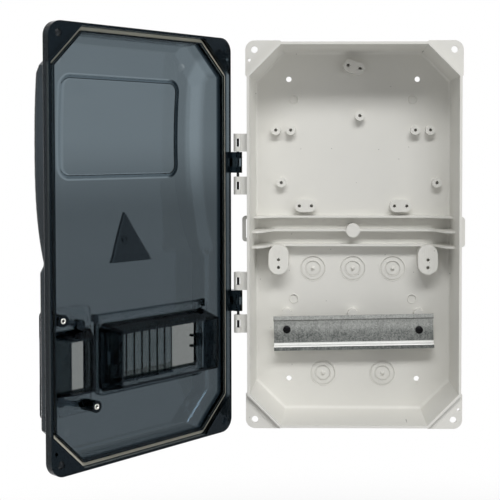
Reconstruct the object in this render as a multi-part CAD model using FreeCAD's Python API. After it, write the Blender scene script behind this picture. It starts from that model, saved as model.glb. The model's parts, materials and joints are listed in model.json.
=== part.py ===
import FreeCAD, Part
import math
import os

# Electricity meter enclosure: a moulded base tray with a hinged smoke-tinted cover.
# Millimetres. X runs to the right, Y runs into the wall and Z runs up.
# The origin is the middle of the flat back face. The cover is shaped shut and then swung open.
# Insets are measured from the rim of the tray; rises, drops and borders from the piece beside it.

V = FreeCAD.Vector
X_AXIS = V(1, 0, 0)
Y_AXIS = V(0, 1, 0)
Z_AXIS = V(0, 0, 1)

# Base tray
rim_width = 208.0
rim_height = 375.0
rim_chamfer = 32.0
base_depth = 65.0
base_wall = 2.5
floor_thickness = 3.0
base_draft = 2.5
floor_radius = 3.0
back_radius = 2.0

# Outline shared by the cover and the corner lugs of the base
overhang = 3.0
cover_corner_radius = 13.0
lug_overhang = 1.6
lug_corner_radius = 9.0
lug_thickness = 3.0
lug_foot = 5.0
lug_gap = 0.4
lug_hole_diameter = 6.5
lug_hole_inset = 10.2
seal_hole_diameter = 3.0
seal_hole_side_inset = 5.2
seal_hole_end_inset = 20.3

# Wall fixing holes and shallow recesses in the floor of the tray
wall_hole_diameter = 5.5
wall_hole_side_inset = 38.5
wall_hole_top_inset = 32.3
wall_hole_bottom_inset = 35.7
recess_diameter = 8.5
recess_depth = 0.8
recess_side_inset = 43.5
recess_top_inset = 53.0
recess_bottom_inset = 118.1

# Meter bosses and pads
boss_height = 8.0
boss_diameter = 10.0
pilot_diameter = 3.2
pilot_depth = 7.0
pair_boss_side_inset = 25.5
pair_boss_spacing = 15.2
pair_boss_top_inset = 84.2
single_boss_left_inset = 31.1
single_boss_right_inset = 18.8
single_boss_top_inset = 137.6
centre_boss_x = 6.9
centre_boss_top_inset = 69.7
pad_length = 22.0
pad_width = 12.5
pad_hole_pitch = 12.4
pad_x = 48.4
pad_z = 26.2
top_pad_x = 1.1
top_pad_inset = 20.4
top_pad_tilt = 15.5
tall_pad_width = 20.0
tall_pad_length = 30.0
tall_pad_height = 20.0
tall_pad_side_inset = 28.7
tall_pad_z = -27.3
tall_pad_hole_pitch = 7.8
tall_pad_hole_drop = 0.2

# Knockouts for cable glands
knockout_outer = 25.0
knockout_inner = 15.5
knockout_groove_width = 1.2
knockout_groove_depth = 0.8
knockout_peg_diameter = 3.0
knockout_peg_height = 0.8
knockout_upper_pitch = 40.8
knockout_upper_z = -38.2
knockout_lower_pitch = 61.0
knockout_lower_inset = 41.4

# Ribs across the middle
rib_thickness = 2.0
rib_height = 11.0
rib_end_rise_top = 23.0
rib_end_rise = 39.0
rib_end_length = 7.0
rib_curve_length = 22.0
rib_top_z = 15.4
rib_middle_z = 1.7
rib_bottom_z = -13.5
post_diameter = 14.0
post_height = 14.0

# Strap loops on the side walls
loop_reach = 7.0
loop_bar = 3.4
loop_left_height = 25.6
loop_left_z = 4.6
loop_right_height = 30.2
loop_right_z = 1.4
loop_thickness = 6.0
loop_depth = 30.0

# Mounting rail, its supports and its screws
rail_length = 162.0
rail_height = 35.0
rail_depth = 7.5
rail_web = 27.0
rail_sheet = 1.0
rail_bend_radius = 0.8
rail_tilt = 1.2
rail_centre_x = 0.7
rail_bottom_inset = 86.3
rail_hole_diameter = 5.2
rail_hole_inset = 13.8
pillar_width = 10.0
pillar_length = 44.0
pillar_height = 10.5
pillar_rise = 0.7
rail_screw_rise = 1.7
rail_screw_shank = 3.4
rail_screw_head = 7.6
rail_screw_head_height = 2.6
rail_screw_length = 9.0
rail_screw_fit = 0.1
screw_crown = 1.1
screw_socket = 3.4
screw_socket_depth = 1.3

# Hinge
hinge_offset = 6.2
hinge_setback = 7.8
hinge_upper_z = 69.4
hinge_lower_z = -65.6
hinge_span = 59.2
hinge_lug_height = 17.4
hinge_knuckle_radius = 4.2
hinge_neck = 5.0
hinge_block_height = 20.2
hinge_block_gap = 0.4
hinge_window_width = 4.5
hinge_window_height = 7.7
pin_diameter = 2.6
pin_fit = 0.06
pin_end_gap = 1.0
open_angle = 129.0

# Cover flange, skirt and gasket channel
skirt_clearance = 0.5
skirt_front = 4.5
flange_back = 4.5
flange_radius = 2.0
channel_floor = 2.2
channel_rib_thickness = 1.5
channel_rib_front = 2.0
channel_rib_gap = 0.9
gasket_side_gap = 0.2
gasket_seat_gap = 0.1
gasket_setback = 0.3

# Cover dome, measured outwards from the rim plane to the outer skin.
# The panel is its broad face; the edge is the line where a wall turns into the bevel beside the panel.
cover_wall = 2.5
dome_draft_angle = 4.0
dome_radius = 5.5
bulge_top_inset = 4.5
bulge_shoulder_inset = 47.5
bulge_crest_inset = 102.5
waist_z = 20.0
kink_z = -13.0
step_z = -20.0
panel_top = 27.4
panel_shoulder = 33.5
panel_crest = 36.0
panel_waist = 30.6
panel_kink = 22.9
panel_lower = 22.5
edge_top = 16.4
edge_shoulder = 23.0
edge_crest = 25.4
edge_waist = 21.5
edge_kink = 13.0
edge_lower = 18.5
end_edge = 21.5
corner_edge = 19.0

# Meter window, raised on the outside, and the raised triangle
window_hinge_inset = 33.5
window_free_inset = 35.0
window_top_inset = 38.5
window_height = 91.0
window_radius = 11.0
window_raise = 4.0
window_step_radius = 1.9
triangle_x = -3.0
triangle_base = 47.0
triangle_height = 44.5
triangle_bottom_z = -18.7
triangle_raise = 3.0

# Moulding marks inside the cover: the gate in the triangle and four ejector pins
gate_x = 2.0
gate_z = 1.6
gate_diameter = 7.5
gate_bore = 3.5
gate_height = 0.8
ejector_diameter = 8.0
ejector_depth = 0.3
ejector_side_inset = 32.0
ejector_end_inset = 25.5

# Small window with its hood and posts, beside the free edge of the cover
small_free_inset = 20.5
small_width = 31.5
small_height = 47.0
small_top_rise = 22.2
small_hood_wall = 2.0
small_hood_front = -2.0
small_foot_left = 8.0
small_foot_right = 3.0
small_foot_top = 7.3
small_foot_bottom = 4.0
small_mouth_left = -3.4
small_mouth_right = -1.0
small_mouth_top = 0.8
small_mouth_bottom = 0.3
post_upper_side = 4.5
post_upper_rise = 18.0
post_lower_side = 1.0
post_lower_drop = 14.0
lid_post_diameter = 10.5
lid_post_front = -3.0
low_upper_side = 9.0
low_upper_rise = 10.3
low_lower_side = 0.5
low_lower_drop = 6.5
low_boss_diameter = 9.5
low_boss_height = 6.0
low_rib_width = 5.0
low_rib_height = 4.5

# Breaker window with its inner hood, level with the rail
breaker_hinge_inset = 22.0
breaker_to_small = 27.0
breaker_height = 45.0
breaker_rise = 0.2
breaker_open = 32.0
hood_wall = 2.2
hood_foot_left = 13.0
hood_foot_right = 11.8
hood_foot_top = 7.5
hood_foot_bottom = 10.0
hood_mouth_left = 6.0
hood_mouth_right = 7.5
hood_mouth_top = 2.0
hood_mouth_bottom = 3.0
hood_mouth_front = 6.0
hood_radius = 6.0
hood_mouth_radius = 3.0

# Blanking strips in the breaker window
strip_pitch = 9.35
strip_gap = 1.2
strip_thickness = 1.5
strip_overlap = 2.0
strip_bar = 2.4
strip_guide = 1.6
strip_guide_height = 3.2
strip_clearance = 0.2
strip_seat_gap = 0.1

# Clips at both ends of the breaker window
clip_height = 12.6
clip_body = 6.0
clip_reach = 8.0
clip_prong = 2.4
clip_depth = 4.0
catch_height = 12.0
catch_reach = 5.0
catch_back = 12.0
catch_front = 4.0

# Lid of the small window with its threaded inserts and screws
insert_diameter = 5.2
insert_bore = 2.7
insert_length = 9.0
insert_fit = 0.05
lid_border = 8.0
lid_thickness = 3.5
lid_skin = 1.6
lid_seat_gap = 0.1
lid_radius = 6.0
lid_hollow_border = 1.0
lid_screw_shank = 2.6
lid_screw_head = 7.0
lid_screw_head_height = 2.4
lid_screw_engagement = 4.0
lid_screw_clearance = 0.4

# Flap over the breaker window
flap_side_border = 11.0
flap_bottom_border = 13.5
flap_axis_rise = 12.0
flap_axis_height = 3.9
flap_barrel_radius = 3.2
flap_gap = 0.4
flap_skin = 1.6
flap_depth = 6.4
flap_radius = 5.0
flap_trunnion = 3.6
flap_trunnion_fit = 0.05
flap_ear_width = 3.0
flap_ear_gap = 0.5
flap_ear_radius = 3.6
flap_grip_width = 26.0
flap_grip_reach = 3.0
flap_grip_thickness = 2.5

# Derived places on the base
rim_y = -base_depth
floor_y = -floor_thickness
half_width = rim_width / 2
half_height = rim_height / 2
outline_half_width = half_width + overhang
outline_half_height = half_height + overhang
lug_hole_x = outline_half_width - lug_hole_inset
lug_hole_z = outline_half_height - lug_hole_inset
seal_hole_x = outline_half_width - seal_hole_side_inset
seal_hole_z = outline_half_height - seal_hole_end_inset
rail_centre_z = rail_bottom_inset - half_height
rail_back_y = floor_y - pillar_height
rail_screw_x = rail_length / 2 - rail_hole_inset
rail_screw_z = rail_centre_z + rail_screw_rise
hinge_x = -outline_half_width - hinge_offset
hinge_y = rim_y + hinge_setback

# Derived places on the cover
channel_rib_outer = -base_wall - channel_rib_gap
dome_opening = channel_rib_outer - channel_rib_thickness
dome_outside = dome_opening + cover_wall
draft_slope = math.tan(math.radians(dome_draft_angle))
corner_reach = (half_width + half_height - rim_chamfer) / math.sqrt(2)
bulge_heights = [half_height - bulge_top_inset, half_height - bulge_shoulder_inset,
                 half_height - bulge_crest_inset, waist_z, kink_z]
panel_depths = [panel_top, panel_shoulder, panel_crest, panel_waist, panel_kink, panel_lower]
edge_depths = [edge_top, edge_shoulder, edge_crest, edge_waist, edge_kink, edge_lower]
panel_inside_y = rim_y - panel_lower + cover_wall
panel_outside_y = rim_y - panel_lower
window_top_z = half_height - window_top_inset
small_right_x = half_width - small_free_inset
small_left_x = small_right_x - small_width
small_top_z = rail_centre_z + small_top_rise
small_bottom_z = small_top_z - small_height
post_top_y = rim_y + lid_post_front
lid_posts = [(small_right_x + post_upper_side, small_top_z + post_upper_rise),
             (small_left_x + post_lower_side, small_bottom_z - post_lower_drop)]
low_bosses = [(small_left_x + low_upper_side, small_top_z + low_upper_rise),
              (small_right_x - low_lower_side, small_bottom_z - low_lower_drop)]
small_window = (small_left_x, small_right_x, small_bottom_z, small_top_z)
small_foot = (small_foot_left, small_foot_right, small_foot_bottom, small_foot_top)
small_mouth = (small_mouth_left, small_mouth_right, small_mouth_bottom, small_mouth_top)
lid_seat_y = panel_outside_y - lid_seat_gap
breaker_left_x = breaker_hinge_inset - half_width
breaker_right_x = small_left_x - breaker_to_small
breaker_middle_z = rail_centre_z + breaker_rise
breaker_top_z = breaker_middle_z + breaker_height / 2
breaker_bottom_z = breaker_middle_z - breaker_height / 2
breaker_window = (breaker_left_x, breaker_right_x, breaker_bottom_z, breaker_top_z)
breaker_foot = (hood_foot_left, hood_foot_right, hood_foot_bottom, hood_foot_top)
breaker_mouth = (hood_mouth_left, hood_mouth_right, hood_mouth_bottom, hood_mouth_top)
strip_count = int((breaker_right_x - breaker_left_x - breaker_open) / strip_pitch)
strip_left_x = breaker_right_x - strip_count * strip_pitch
flap_left_x = breaker_left_x - flap_side_border
flap_right_x = breaker_right_x + flap_side_border
flap_bottom_z = breaker_bottom_z - flap_bottom_border
flap_axis_y = panel_outside_y - flap_axis_height
flap_axis_z = breaker_top_z + flap_axis_rise

# Length beyond every form, and the overlap of forms that are joined or cut through
far = 600.0
bite = 1.0


def polygon_face(points):
    return Part.Face(Part.makePolygon([V(*p) for p in points] + [V(*points[0])]))


def octagon(offset, y):
    # Octagon of the rim moved outwards by the offset, in the plane at depth y.
    w = half_width + offset
    h = half_height + offset
    c = rim_chamfer + offset * (2 - math.sqrt(2))
    points = [(w, h - c), (w - c, h), (c - w, h), (-w, h - c)]
    points += [(-w, c - h), (c - w, -h), (w - c, -h), (w, c - h)]
    return Part.makePolygon([V(x, y, z) for x, z in points + points[:1]])


def octagon_prism(offset, y_start, y_end, end_offset=None):
    last = offset if end_offset is None else end_offset
    return Part.makeLoft([octagon(offset, y_start), octagon(last, y_end)], True, True)


def slab(x_low, x_high, y_low, y_high, z_low, z_high):
    return Part.makeBox(x_high - x_low, y_high - y_low, z_high - z_low, V(x_low, y_low, z_low))


def rounded_wire(x_low, x_high, z_low, z_high, radius, y):
    k = radius * (1 - math.sqrt(0.5))
    corners = [(x_high, z_low, -1, 1), (x_high, z_high, -1, -1)]
    corners += [(x_low, z_high, 1, -1), (x_low, z_low, 1, 1)]
    edges = []
    ends = []
    for i, (x, z, dx, dz) in enumerate(corners):
        on_side = V(x, y, z + dz * radius)
        on_end = V(x + dx * radius, y, z)
        middle = V(x + dx * k, y, z + dz * k)
        first, last = (on_end, on_side) if i % 2 == 0 else (on_side, on_end)
        ends.append((first, last))
        edges.append(Part.Arc(first, middle, last).toShape())
    sides = [Part.makeLine(ends[i][1], ends[(i + 1) % 4][0]) for i in range(4)]
    ordered = [edge for pair in zip(edges, sides) for edge in pair]
    return Part.Wire(ordered)


def rounded_slab(x_low, x_high, z_low, z_high, radius, y_low, y_high):
    face = Part.Face(rounded_wire(x_low, x_high, z_low, z_high, radius, y_low))
    return face.extrude(V(0, y_high - y_low, 0))


def rod_y(x, z, diameter, y_low, y_high):
    return Part.makeCylinder(diameter / 2, y_high - y_low, V(x, y_low, z), Y_AXIS)


def oblong_y(x, z, length, width, tilt, y_low, y_high):
    # Round-ended block standing along Y, its long side along X before the tilt.
    half = (length - width) / 2
    block = slab(-half, half, y_low, y_high, -width / 2, width / 2)
    block = block.fuse([rod_y(-half, 0, width, y_low, y_high), rod_y(half, 0, width, y_low, y_high)])
    block = block.removeSplitter()
    block.rotate(V(0, 0, 0), Y_AXIS, tilt)
    block.translate(V(x, 0, z))
    return block


def bar_y(start, end, width, y_low, y_high):
    # Straight bar standing along Y between two places.
    (x0, z0), (x1, z1) = start, end
    scale = width / 2 / math.hypot(x1 - x0, z1 - z0)
    dx = (z1 - z0) * scale
    dz = (x1 - x0) * scale
    points = [(x0 + dx, z0 - dz), (x1 + dx, z1 - dz), (x1 - dx, z1 + dz), (x0 - dx, z0 + dz)]
    return polygon_face([(x, y_low, z) for x, z in points]).extrude(V(0, y_high - y_low, 0))


def rounded_at(shape, y, radius):
    # Rounds the edges that lie in the plane at depth y.
    return shape.makeFillet(radius, [e for e in shape.Edges if all(abs(v.Y - y) < 0.01 for v in e.Vertexes)])


def joined(first, others):
    return first.fuse(others).removeSplitter()


def corner_lug(side, end):
    # Triangular plate across one chamfered corner, its tip rounded.
    tip_x = side * (half_width + lug_overhang)
    tip_z = end * (half_height + lug_overhang)
    inner_x = side * (half_width - rim_chamfer - lug_foot)
    inner_z = end * (half_height - rim_chamfer - lug_foot)
    foot_x = side * (half_width - base_draft)
    foot_z = end * (half_height - base_draft)
    front = rim_y + skirt_front + lug_gap
    points = [(tip_x, front, tip_z), (inner_x + side * lug_foot, front, tip_z), (inner_x, front, foot_z)]
    points += [(foot_x, front, inner_z), (tip_x, front, inner_z + end * lug_foot)]
    plate = polygon_face(points).extrude(V(0, lug_thickness, 0))
    tip = [e for e in plate.Edges if all(abs(v.X - tip_x) + abs(v.Z - tip_z) < 0.01 for v in e.Vertexes)]
    return plate.makeFillet(lug_corner_radius, tip)


def strap_loop(side, z, height):
    # C-shaped bar standing out from the side wall, open from front to back.
    outer = half_width + loop_reach
    low = -loop_depth - loop_thickness / 2
    high = -loop_depth + loop_thickness / 2
    root = half_width - base_draft - base_wall / 2
    body = slab(root, outer, low, high, z - height / 2, z + height / 2)
    tips = [e for e in body.Edges if all(abs(v.X - outer) < 0.01 for v in e.Vertexes)
            and abs(e.Vertexes[0].Y - e.Vertexes[-1].Y) > loop_thickness / 2]
    body = body.makeFillet(loop_bar, tips)
    hole = slab(0, outer - loop_bar, low - bite, high + bite,
                z - height / 2 + loop_bar, z + height / 2 - loop_bar)
    body = body.cut(hole)
    if side < 0:
        body = body.mirror(V(0, 0, 0), X_AXIS)
    return body


def knuckle_cuts(z_low, height):
    # Bore for the pin and the moulding window through the middle of a knuckle.
    bore = Part.makeCylinder(pin_diameter / 2 + pin_fit, height, V(hinge_x, hinge_y, z_low))
    middle = z_low + height / 2
    window = slab(hinge_x - hinge_window_width / 2, hinge_x + hinge_window_width / 2,
                  hinge_y - far, hinge_y + far,
                  middle - hinge_window_height / 2, middle + hinge_window_height / 2)
    return [bore, window]


def hinge_lug(z_low):
    # Knuckle round the pin with a neck to the side wall.
    knuckle = Part.makeCylinder(hinge_knuckle_radius, hinge_lug_height, V(hinge_x, hinge_y, z_low))
    neck = slab(hinge_x, -half_width + base_wall, hinge_y - hinge_neck / 2, hinge_y + hinge_neck / 2,
                z_low, z_low + hinge_lug_height)
    return joined(knuckle, [neck]).cut(knuckle_cuts(z_low, hinge_lug_height))


def floor_rib(z, end_rise):
    # Thin rib from wall to wall whose crest climbs in an S-curve at both ends.
    crest = floor_y - rib_height
    top = floor_y - end_rise
    root = floor_y + bite
    turn = half_width - rib_end_length
    start = turn - rib_curve_length
    middle = (turn + start) / 2
    z_low = z - rib_thickness / 2
    left = Part.BezierCurve()
    left.setPoles([V(-turn, top, z_low), V(-middle, top, z_low),
                   V(-middle, crest, z_low), V(-start, crest, z_low)])
    right = Part.BezierCurve()
    right.setPoles([V(start, crest, z_low), V(middle, crest, z_low),
                    V(middle, top, z_low), V(turn, top, z_low)])
    ends = [(turn, top), (half_width, top), (half_width, root)]
    ends += [(-x, y) for x, y in reversed(ends)]
    corners = [V(x, y, z_low) for x, y in ends]
    crest_line = Part.makeLine(V(-start, crest, z_low), V(start, crest, z_low))
    outline = [left.toShape(), crest_line, right.toShape()]
    outline += [Part.makeLine(a, b) for a, b in zip(corners, corners[1:])]
    return Part.Face(Part.Wire(outline)).extrude(V(0, 0, rib_thickness))


def knockout_grooves(x, z):
    cuts = []
    for diameter in (knockout_outer, knockout_inner):
        disc = rod_y(x, z, diameter, floor_y, floor_y + knockout_groove_depth)
        core = rod_y(x, z, diameter - 2 * knockout_groove_width, floor_y, floor_y + knockout_groove_depth)
        cuts.append(disc.cut(core))
    return cuts


def knockout_places():
    upper = [(i * knockout_upper_pitch, knockout_upper_z) for i in (-1, 0, 1)]
    lower = [(i * knockout_lower_pitch / 2, knockout_lower_inset - half_height) for i in (-1, 1)]
    return upper + lower


def pilot_hole(x, z, height):
    return rod_y(x, z, pilot_diameter, floor_y - height, floor_y - height + pilot_depth)


def pad_with_pilots(x, z, tilt):
    pad = oblong_y(x, z, pad_length, pad_width, tilt, floor_y - boss_height, floor_y + bite)
    angle = math.radians(tilt)
    holes = []
    for step in (-pad_hole_pitch / 2, pad_hole_pitch / 2):
        holes.append(pilot_hole(x + step * math.cos(angle), z - step * math.sin(angle), boss_height))
    return pad.cut(holes)


def round_bosses():
    pair_x = half_width - pair_boss_side_inset
    pair_z = half_height - pair_boss_top_inset
    single_z = half_height - single_boss_top_inset
    places = [(side * (pair_x - i * pair_boss_spacing), pair_z) for side in (-1, 1) for i in (0, 1)]
    places.append((single_boss_left_inset - half_width, single_z))
    places.append((half_width - single_boss_right_inset, single_z))
    places.append((centre_boss_x, half_height - centre_boss_top_inset))
    bosses = []
    for x, z in places:
        boss = rod_y(x, z, boss_diameter, floor_y - boss_height, floor_y + bite)
        bosses.append(boss.cut(pilot_hole(x, z, boss_height)))
    return bosses


def rail_pillars():
    pillar_z = rail_centre_z + pillar_rise
    hole = rail_screw_shank + 2 * rail_screw_fit
    pillars = []
    for x in (-rail_screw_x, 0, rail_screw_x):
        pillar = oblong_y(x, pillar_z, pillar_length, pillar_width, 90, rail_back_y, floor_y + bite)
        if x:
            pillar = pillar.cut(rod_y(x, rail_screw_z, hole, rail_back_y, floor_y - bite))
        pillars.append(pillar)
    return pillars


def tall_pads():
    pads = []
    for side in (-1, 1):
        x = side * (half_width - tall_pad_side_inset)
        pad = oblong_y(x, tall_pad_z, tall_pad_length, tall_pad_width, 90,
                       floor_y - tall_pad_height, floor_y + bite)
        for step in (0, 1):
            hole_z = tall_pad_z - tall_pad_hole_drop - step * tall_pad_hole_pitch
            pad = pad.cut(pilot_hole(x, hole_z, tall_pad_height))
        pads.append(pad)
    return pads


def corner_holes():
    # Screw holes in all four corners and seal holes in two of them.
    holes = [rod_y(side * lug_hole_x, end * lug_hole_z, lug_hole_diameter, -far, 0)
             for side in (-1, 1) for end in (-1, 1)]
    holes.append(rod_y(-seal_hole_x, seal_hole_z, seal_hole_diameter, -far, 0))
    holes.append(rod_y(seal_hole_x, -seal_hole_z, seal_hole_diameter, -far, 0))
    return holes


def floor_holes():
    # Through holes to the wall and shallow blind recesses.
    holes = []
    for side in (-1, 1):
        hole_x = side * (half_width - wall_hole_side_inset)
        for hole_z in (half_height - wall_hole_top_inset, wall_hole_bottom_inset - half_height):
            holes.append(rod_y(hole_x, hole_z, wall_hole_diameter, -far, bite))
        recess_x = side * (half_width - recess_side_inset)
        for recess_z in (half_height - recess_top_inset, recess_bottom_inset - half_height):
            holes.append(rod_y(recess_x, recess_z, recess_diameter, floor_y, floor_y + recess_depth))
    return holes


def make_base():
    outer = rounded_at(octagon_prism(-base_draft, 0, rim_y, 0), 0, back_radius)
    slope = base_draft / base_depth
    inner_floor = -base_draft - base_wall + slope * floor_thickness
    cavity = rounded_at(octagon_prism(inner_floor, floor_y, rim_y, -base_wall), floor_y, floor_radius)
    lugs = [corner_lug(side, end) for side in (-1, 1) for end in (-1, 1)]
    lugs += [strap_loop(-1, loop_left_z, loop_left_height), strap_loop(1, loop_right_z, loop_right_height)]
    for centre in (hinge_upper_z, hinge_lower_z):
        lugs.append(hinge_lug(centre + hinge_span / 2 - hinge_lug_height))
        lugs.append(hinge_lug(centre - hinge_span / 2))
    tray = outer.fuse(lugs).cut(cavity)
    ribs = [floor_rib(rib_top_z, rib_end_rise_top), floor_rib(rib_middle_z, rib_end_rise)]
    ribs.append(floor_rib(rib_bottom_z, rib_end_rise))
    inside = [rib.common(outer) for rib in ribs]
    inside.append(rod_y(0, rib_middle_z, post_diameter, floor_y - post_height, floor_y + bite))
    inside += round_bosses() + rail_pillars() + tall_pads()
    inside += [pad_with_pilots(-pad_x, pad_z, 0), pad_with_pilots(pad_x, pad_z, 0)]
    inside.append(pad_with_pilots(top_pad_x, half_height - top_pad_inset, top_pad_tilt))
    for x, z in knockout_places():
        inside.append(rod_y(x, z, knockout_peg_diameter, floor_y - knockout_peg_height, floor_y + bite))
    tray = joined(tray, inside)
    cuts = corner_holes() + floor_holes()
    for x, z in knockout_places():
        cuts += knockout_grooves(x, z)
    return tray.cut(cuts)


def make_rail():
    # Top-hat section: a web on the pillars and two lips at the front.
    back = rail_back_y
    front = back - rail_depth
    lip = rail_height / 2
    web = rail_web / 2
    t = rail_sheet
    half = [(front, lip), (front, web - t), (back - t, web - t)]
    outer_half = [(back, web), (front + t, web), (front + t, lip)]
    points = half + [(y, -z) for y, z in reversed(half)]
    points += [(y, -z) for y, z in reversed(outer_half)] + outer_half
    section = polygon_face([(-rail_length / 2, y, z) for y, z in points])
    rail = section.extrude(V(rail_length, 0, 0))
    for radius, spots in ((rail_bend_radius, ((back - t, web - t), (front + t, web))),
                          (rail_bend_radius + t, ((front, web - t), (back, web)))):
        bends = [e for e in rail.Edges if e.Length > rail_length / 2
                 and any(abs(e.Vertexes[0].Y - y) + abs(abs(e.Vertexes[0].Z) - z) < 0.01 for y, z in spots)]
        rail = rail.makeFillet(radius, bends)
    rail.rotate(V(0, 0, 0), Y_AXIS, -rail_tilt)
    rail.translate(V(rail_centre_x, 0, rail_centre_z))
    holes = [rod_y(side * rail_screw_x, rail_screw_z, rail_hole_diameter, -far, 0) for side in (-1, 1)]
    return rail.cut(holes)


def pan_screw(x, z, seat_y, head, head_height, shank, length):
    # Domed head outwards along -Y with a square driver socket. The length is below the head.
    sphere = (head * head / 4 + screw_crown * screw_crown) / (2 * screw_crown)
    quarter = head / 4
    rim = V(head / 2, 0, screw_crown - head_height)
    crown = V(0, 0, -head_height)
    bulge = V(quarter, 0, sphere - head_height - math.sqrt(sphere * sphere - quarter * quarter))
    outline = [Part.makeLine(V(0, 0, 0), V(head / 2, 0, 0)), Part.makeLine(V(head / 2, 0, 0), rim),
               Part.Arc(rim, bulge, crown).toShape(), Part.makeLine(crown, V(0, 0, 0))]
    cap = Part.Face(Part.Wire(outline)).revolve(V(0, 0, 0), Z_AXIS, 360)
    stem = Part.makeCylinder(shank / 2, length + bite, V(0, 0, -bite))
    screw = joined(cap, [stem])
    half = screw_socket / 2
    socket = Part.makeBox(screw_socket, screw_socket, screw_socket_depth, V(-half, -half, -head_height))
    screw = screw.cut(socket)
    screw.rotate(V(0, 0, 0), X_AXIS, -90)
    screw.translate(V(x, seat_y, z))
    return screw


def side_profile(depths, shrink):
    # Side view of the dome, filled on the inner side: a bulge, a kink and the flat lower part.
    bulge = [V(0, rim_y - depth + shrink, z) for depth, z in zip(depths, bulge_heights)]
    lower_y = rim_y - depths[-1] + shrink
    curve = Part.BSplineCurve()
    curve.interpolate(bulge)
    corners = [bulge[-1], V(0, lower_y, step_z), V(0, lower_y, -far), V(0, far, -far)]
    corners += [V(0, far, far), V(0, bulge[0].y, far), bulge[0]]
    lines = [Part.makeLine(a, b) for a, b in zip(corners, corners[1:])]
    return Part.Face(Part.Wire([curve.toShape()] + lines))


def panel_form(shrink):
    # Everything on the inner side of the panel surface.
    face = side_profile(panel_depths, shrink)
    face.translate(V(-far, 0, 0))
    return face.extrude(V(2 * far, 0, 0))


def side_bevel(side, shrink):
    # Everything on the inner side of the curved bevel along one side of the dome.
    face = side_profile(edge_depths, shrink * math.tan(math.pi / 8))
    wall_x = half_width + dome_outside - shrink - draft_slope * edge_lower
    start = 4 * cover_wall
    face.translate(V(side * (wall_x + start), start, 0))
    reach = 2 * rim_width
    return face.extrude(V(-side * reach, -reach, 0))


def end_bevel(angle, reach, depth, shrink):
    # Everything on the inner side of the flat bevel at one end or corner of the dome.
    n = reach + dome_outside - shrink - draft_slope * depth
    y = rim_y - depth + shrink * math.tan(math.pi / 8)
    wedge = polygon_face([(n - far, y - far, -far), (n + far, y + far, -far), (n - far, y + far, -far)])
    wedge = wedge.extrude(V(0, 0, 2 * far))
    wedge.rotate(V(0, 0, 0), Y_AXIS, -angle)
    return wedge


def dome_form(shrink):
    # Drafted walls, a bevel along every side and the bulged panel, with all creases rounded.
    depth = 2 * panel_crest
    mouth = dome_outside - shrink
    form = octagon_prism(mouth, rim_y, rim_y - depth, mouth - draft_slope * depth)
    bounds = [panel_form(shrink), side_bevel(-1, shrink), side_bevel(1, shrink)]
    bounds.append(end_bevel(90, half_height, end_edge, shrink))
    bounds.append(end_bevel(-90, half_height, edge_lower, shrink))
    bounds += [end_bevel(angle, corner_reach, corner_edge, shrink) for angle in (45, 135)]
    bounds += [end_bevel(angle, corner_reach, edge_lower, shrink) for angle in (-45, -135)]
    for bound in bounds:
        form = form.common(bound)
    creases = [e for e in form.Edges if all(v.Y < rim_y - bite for v in e.Vertexes)]
    return form.makeFillet(dome_radius - shrink, creases)


def window_form(shrink):
    pane = rounded_slab(window_hinge_inset - half_width + shrink, half_width - window_free_inset - shrink,
                        window_top_z - window_height + shrink, window_top_z - shrink,
                        window_radius - shrink, rim_y - far / 2, rim_y)
    form = pane.common(panel_form(shrink - window_raise))
    top = [e for e in form.Edges if all(v.Y < rim_y - bite for v in e.Vertexes)]
    return form.makeFillet(window_step_radius, top)


def bulged_form(shrink):
    # The dome with the window raised on it. The foot of the step round the window is rounded too.
    dome = dome_form(shrink)
    window = window_form(shrink)
    seam = window.Shells[0].section(dome.Shells[0])
    form = dome.fuse(window).removeSplitter()
    foot = []
    for edge in form.Edges:
        middle = edge.valueAt((edge.FirstParameter + edge.LastParameter) / 2)
        if middle.y < rim_y - bite and Part.Vertex(middle).distToShape(seam)[0] < 0.01:
            foot.append(edge)
    return form.makeFillet(window_step_radius, foot)


def triangle_form():
    half = triangle_base / 2
    points = [(triangle_x - half, triangle_bottom_z), (triangle_x + half, triangle_bottom_z),
              (triangle_x, triangle_bottom_z + triangle_height)]
    prism = polygon_face([(x, rim_y - far / 2, z) for x, z in points]).extrude(V(0, far / 2, 0))
    return prism.common(panel_form(-triangle_raise)).cut(panel_form(cover_wall / 2))


def gate_mark():
    # Ring left round the injection gate.
    ring = rod_y(gate_x, gate_z, gate_diameter, rim_y - far / 2, rim_y)
    ring = ring.cut(rod_y(gate_x, gate_z, gate_bore, rim_y - far / 2, rim_y))
    return ring.common(panel_form(cover_wall / 2)).cut(panel_form(cover_wall + gate_height))


def ejector_marks():
    # Shallow round pits left by the ejector pins, as solids to cut.
    x = half_width - ejector_side_inset
    z = half_height - ejector_end_inset
    skin = panel_form(cover_wall - ejector_depth)
    return [rod_y(side * x, end * z, ejector_diameter, rim_y - far / 2, rim_y - channel_floor).common(skin)
            for side in (-1, 1) for end in (-1, 1)]


def hood_form(window, foot, mouth, front, shrink, extra):
    # Tapered tube round a window from the panel to its mouth. Borders: left, right, bottom, top.
    x_low, x_high, z_low, z_high = window
    wires = []
    for border, radius, y in ((foot, hood_radius, panel_inside_y - extra), (mouth, hood_mouth_radius, front)):
        left, right, bottom, top = [width - shrink for width in border]
        wires.append(rounded_wire(x_low - left, x_high + right, z_low - bottom, z_high + top,
                                  radius - shrink, y))
    return Part.makeLoft(wires, True, True)


def hood_tube(window, foot, mouth, front, wall):
    tube = hood_form(window, foot, mouth, front, 0, cover_wall / 2)
    return tube.cut(hood_form(window, foot, mouth, front, wall, cover_wall))


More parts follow.
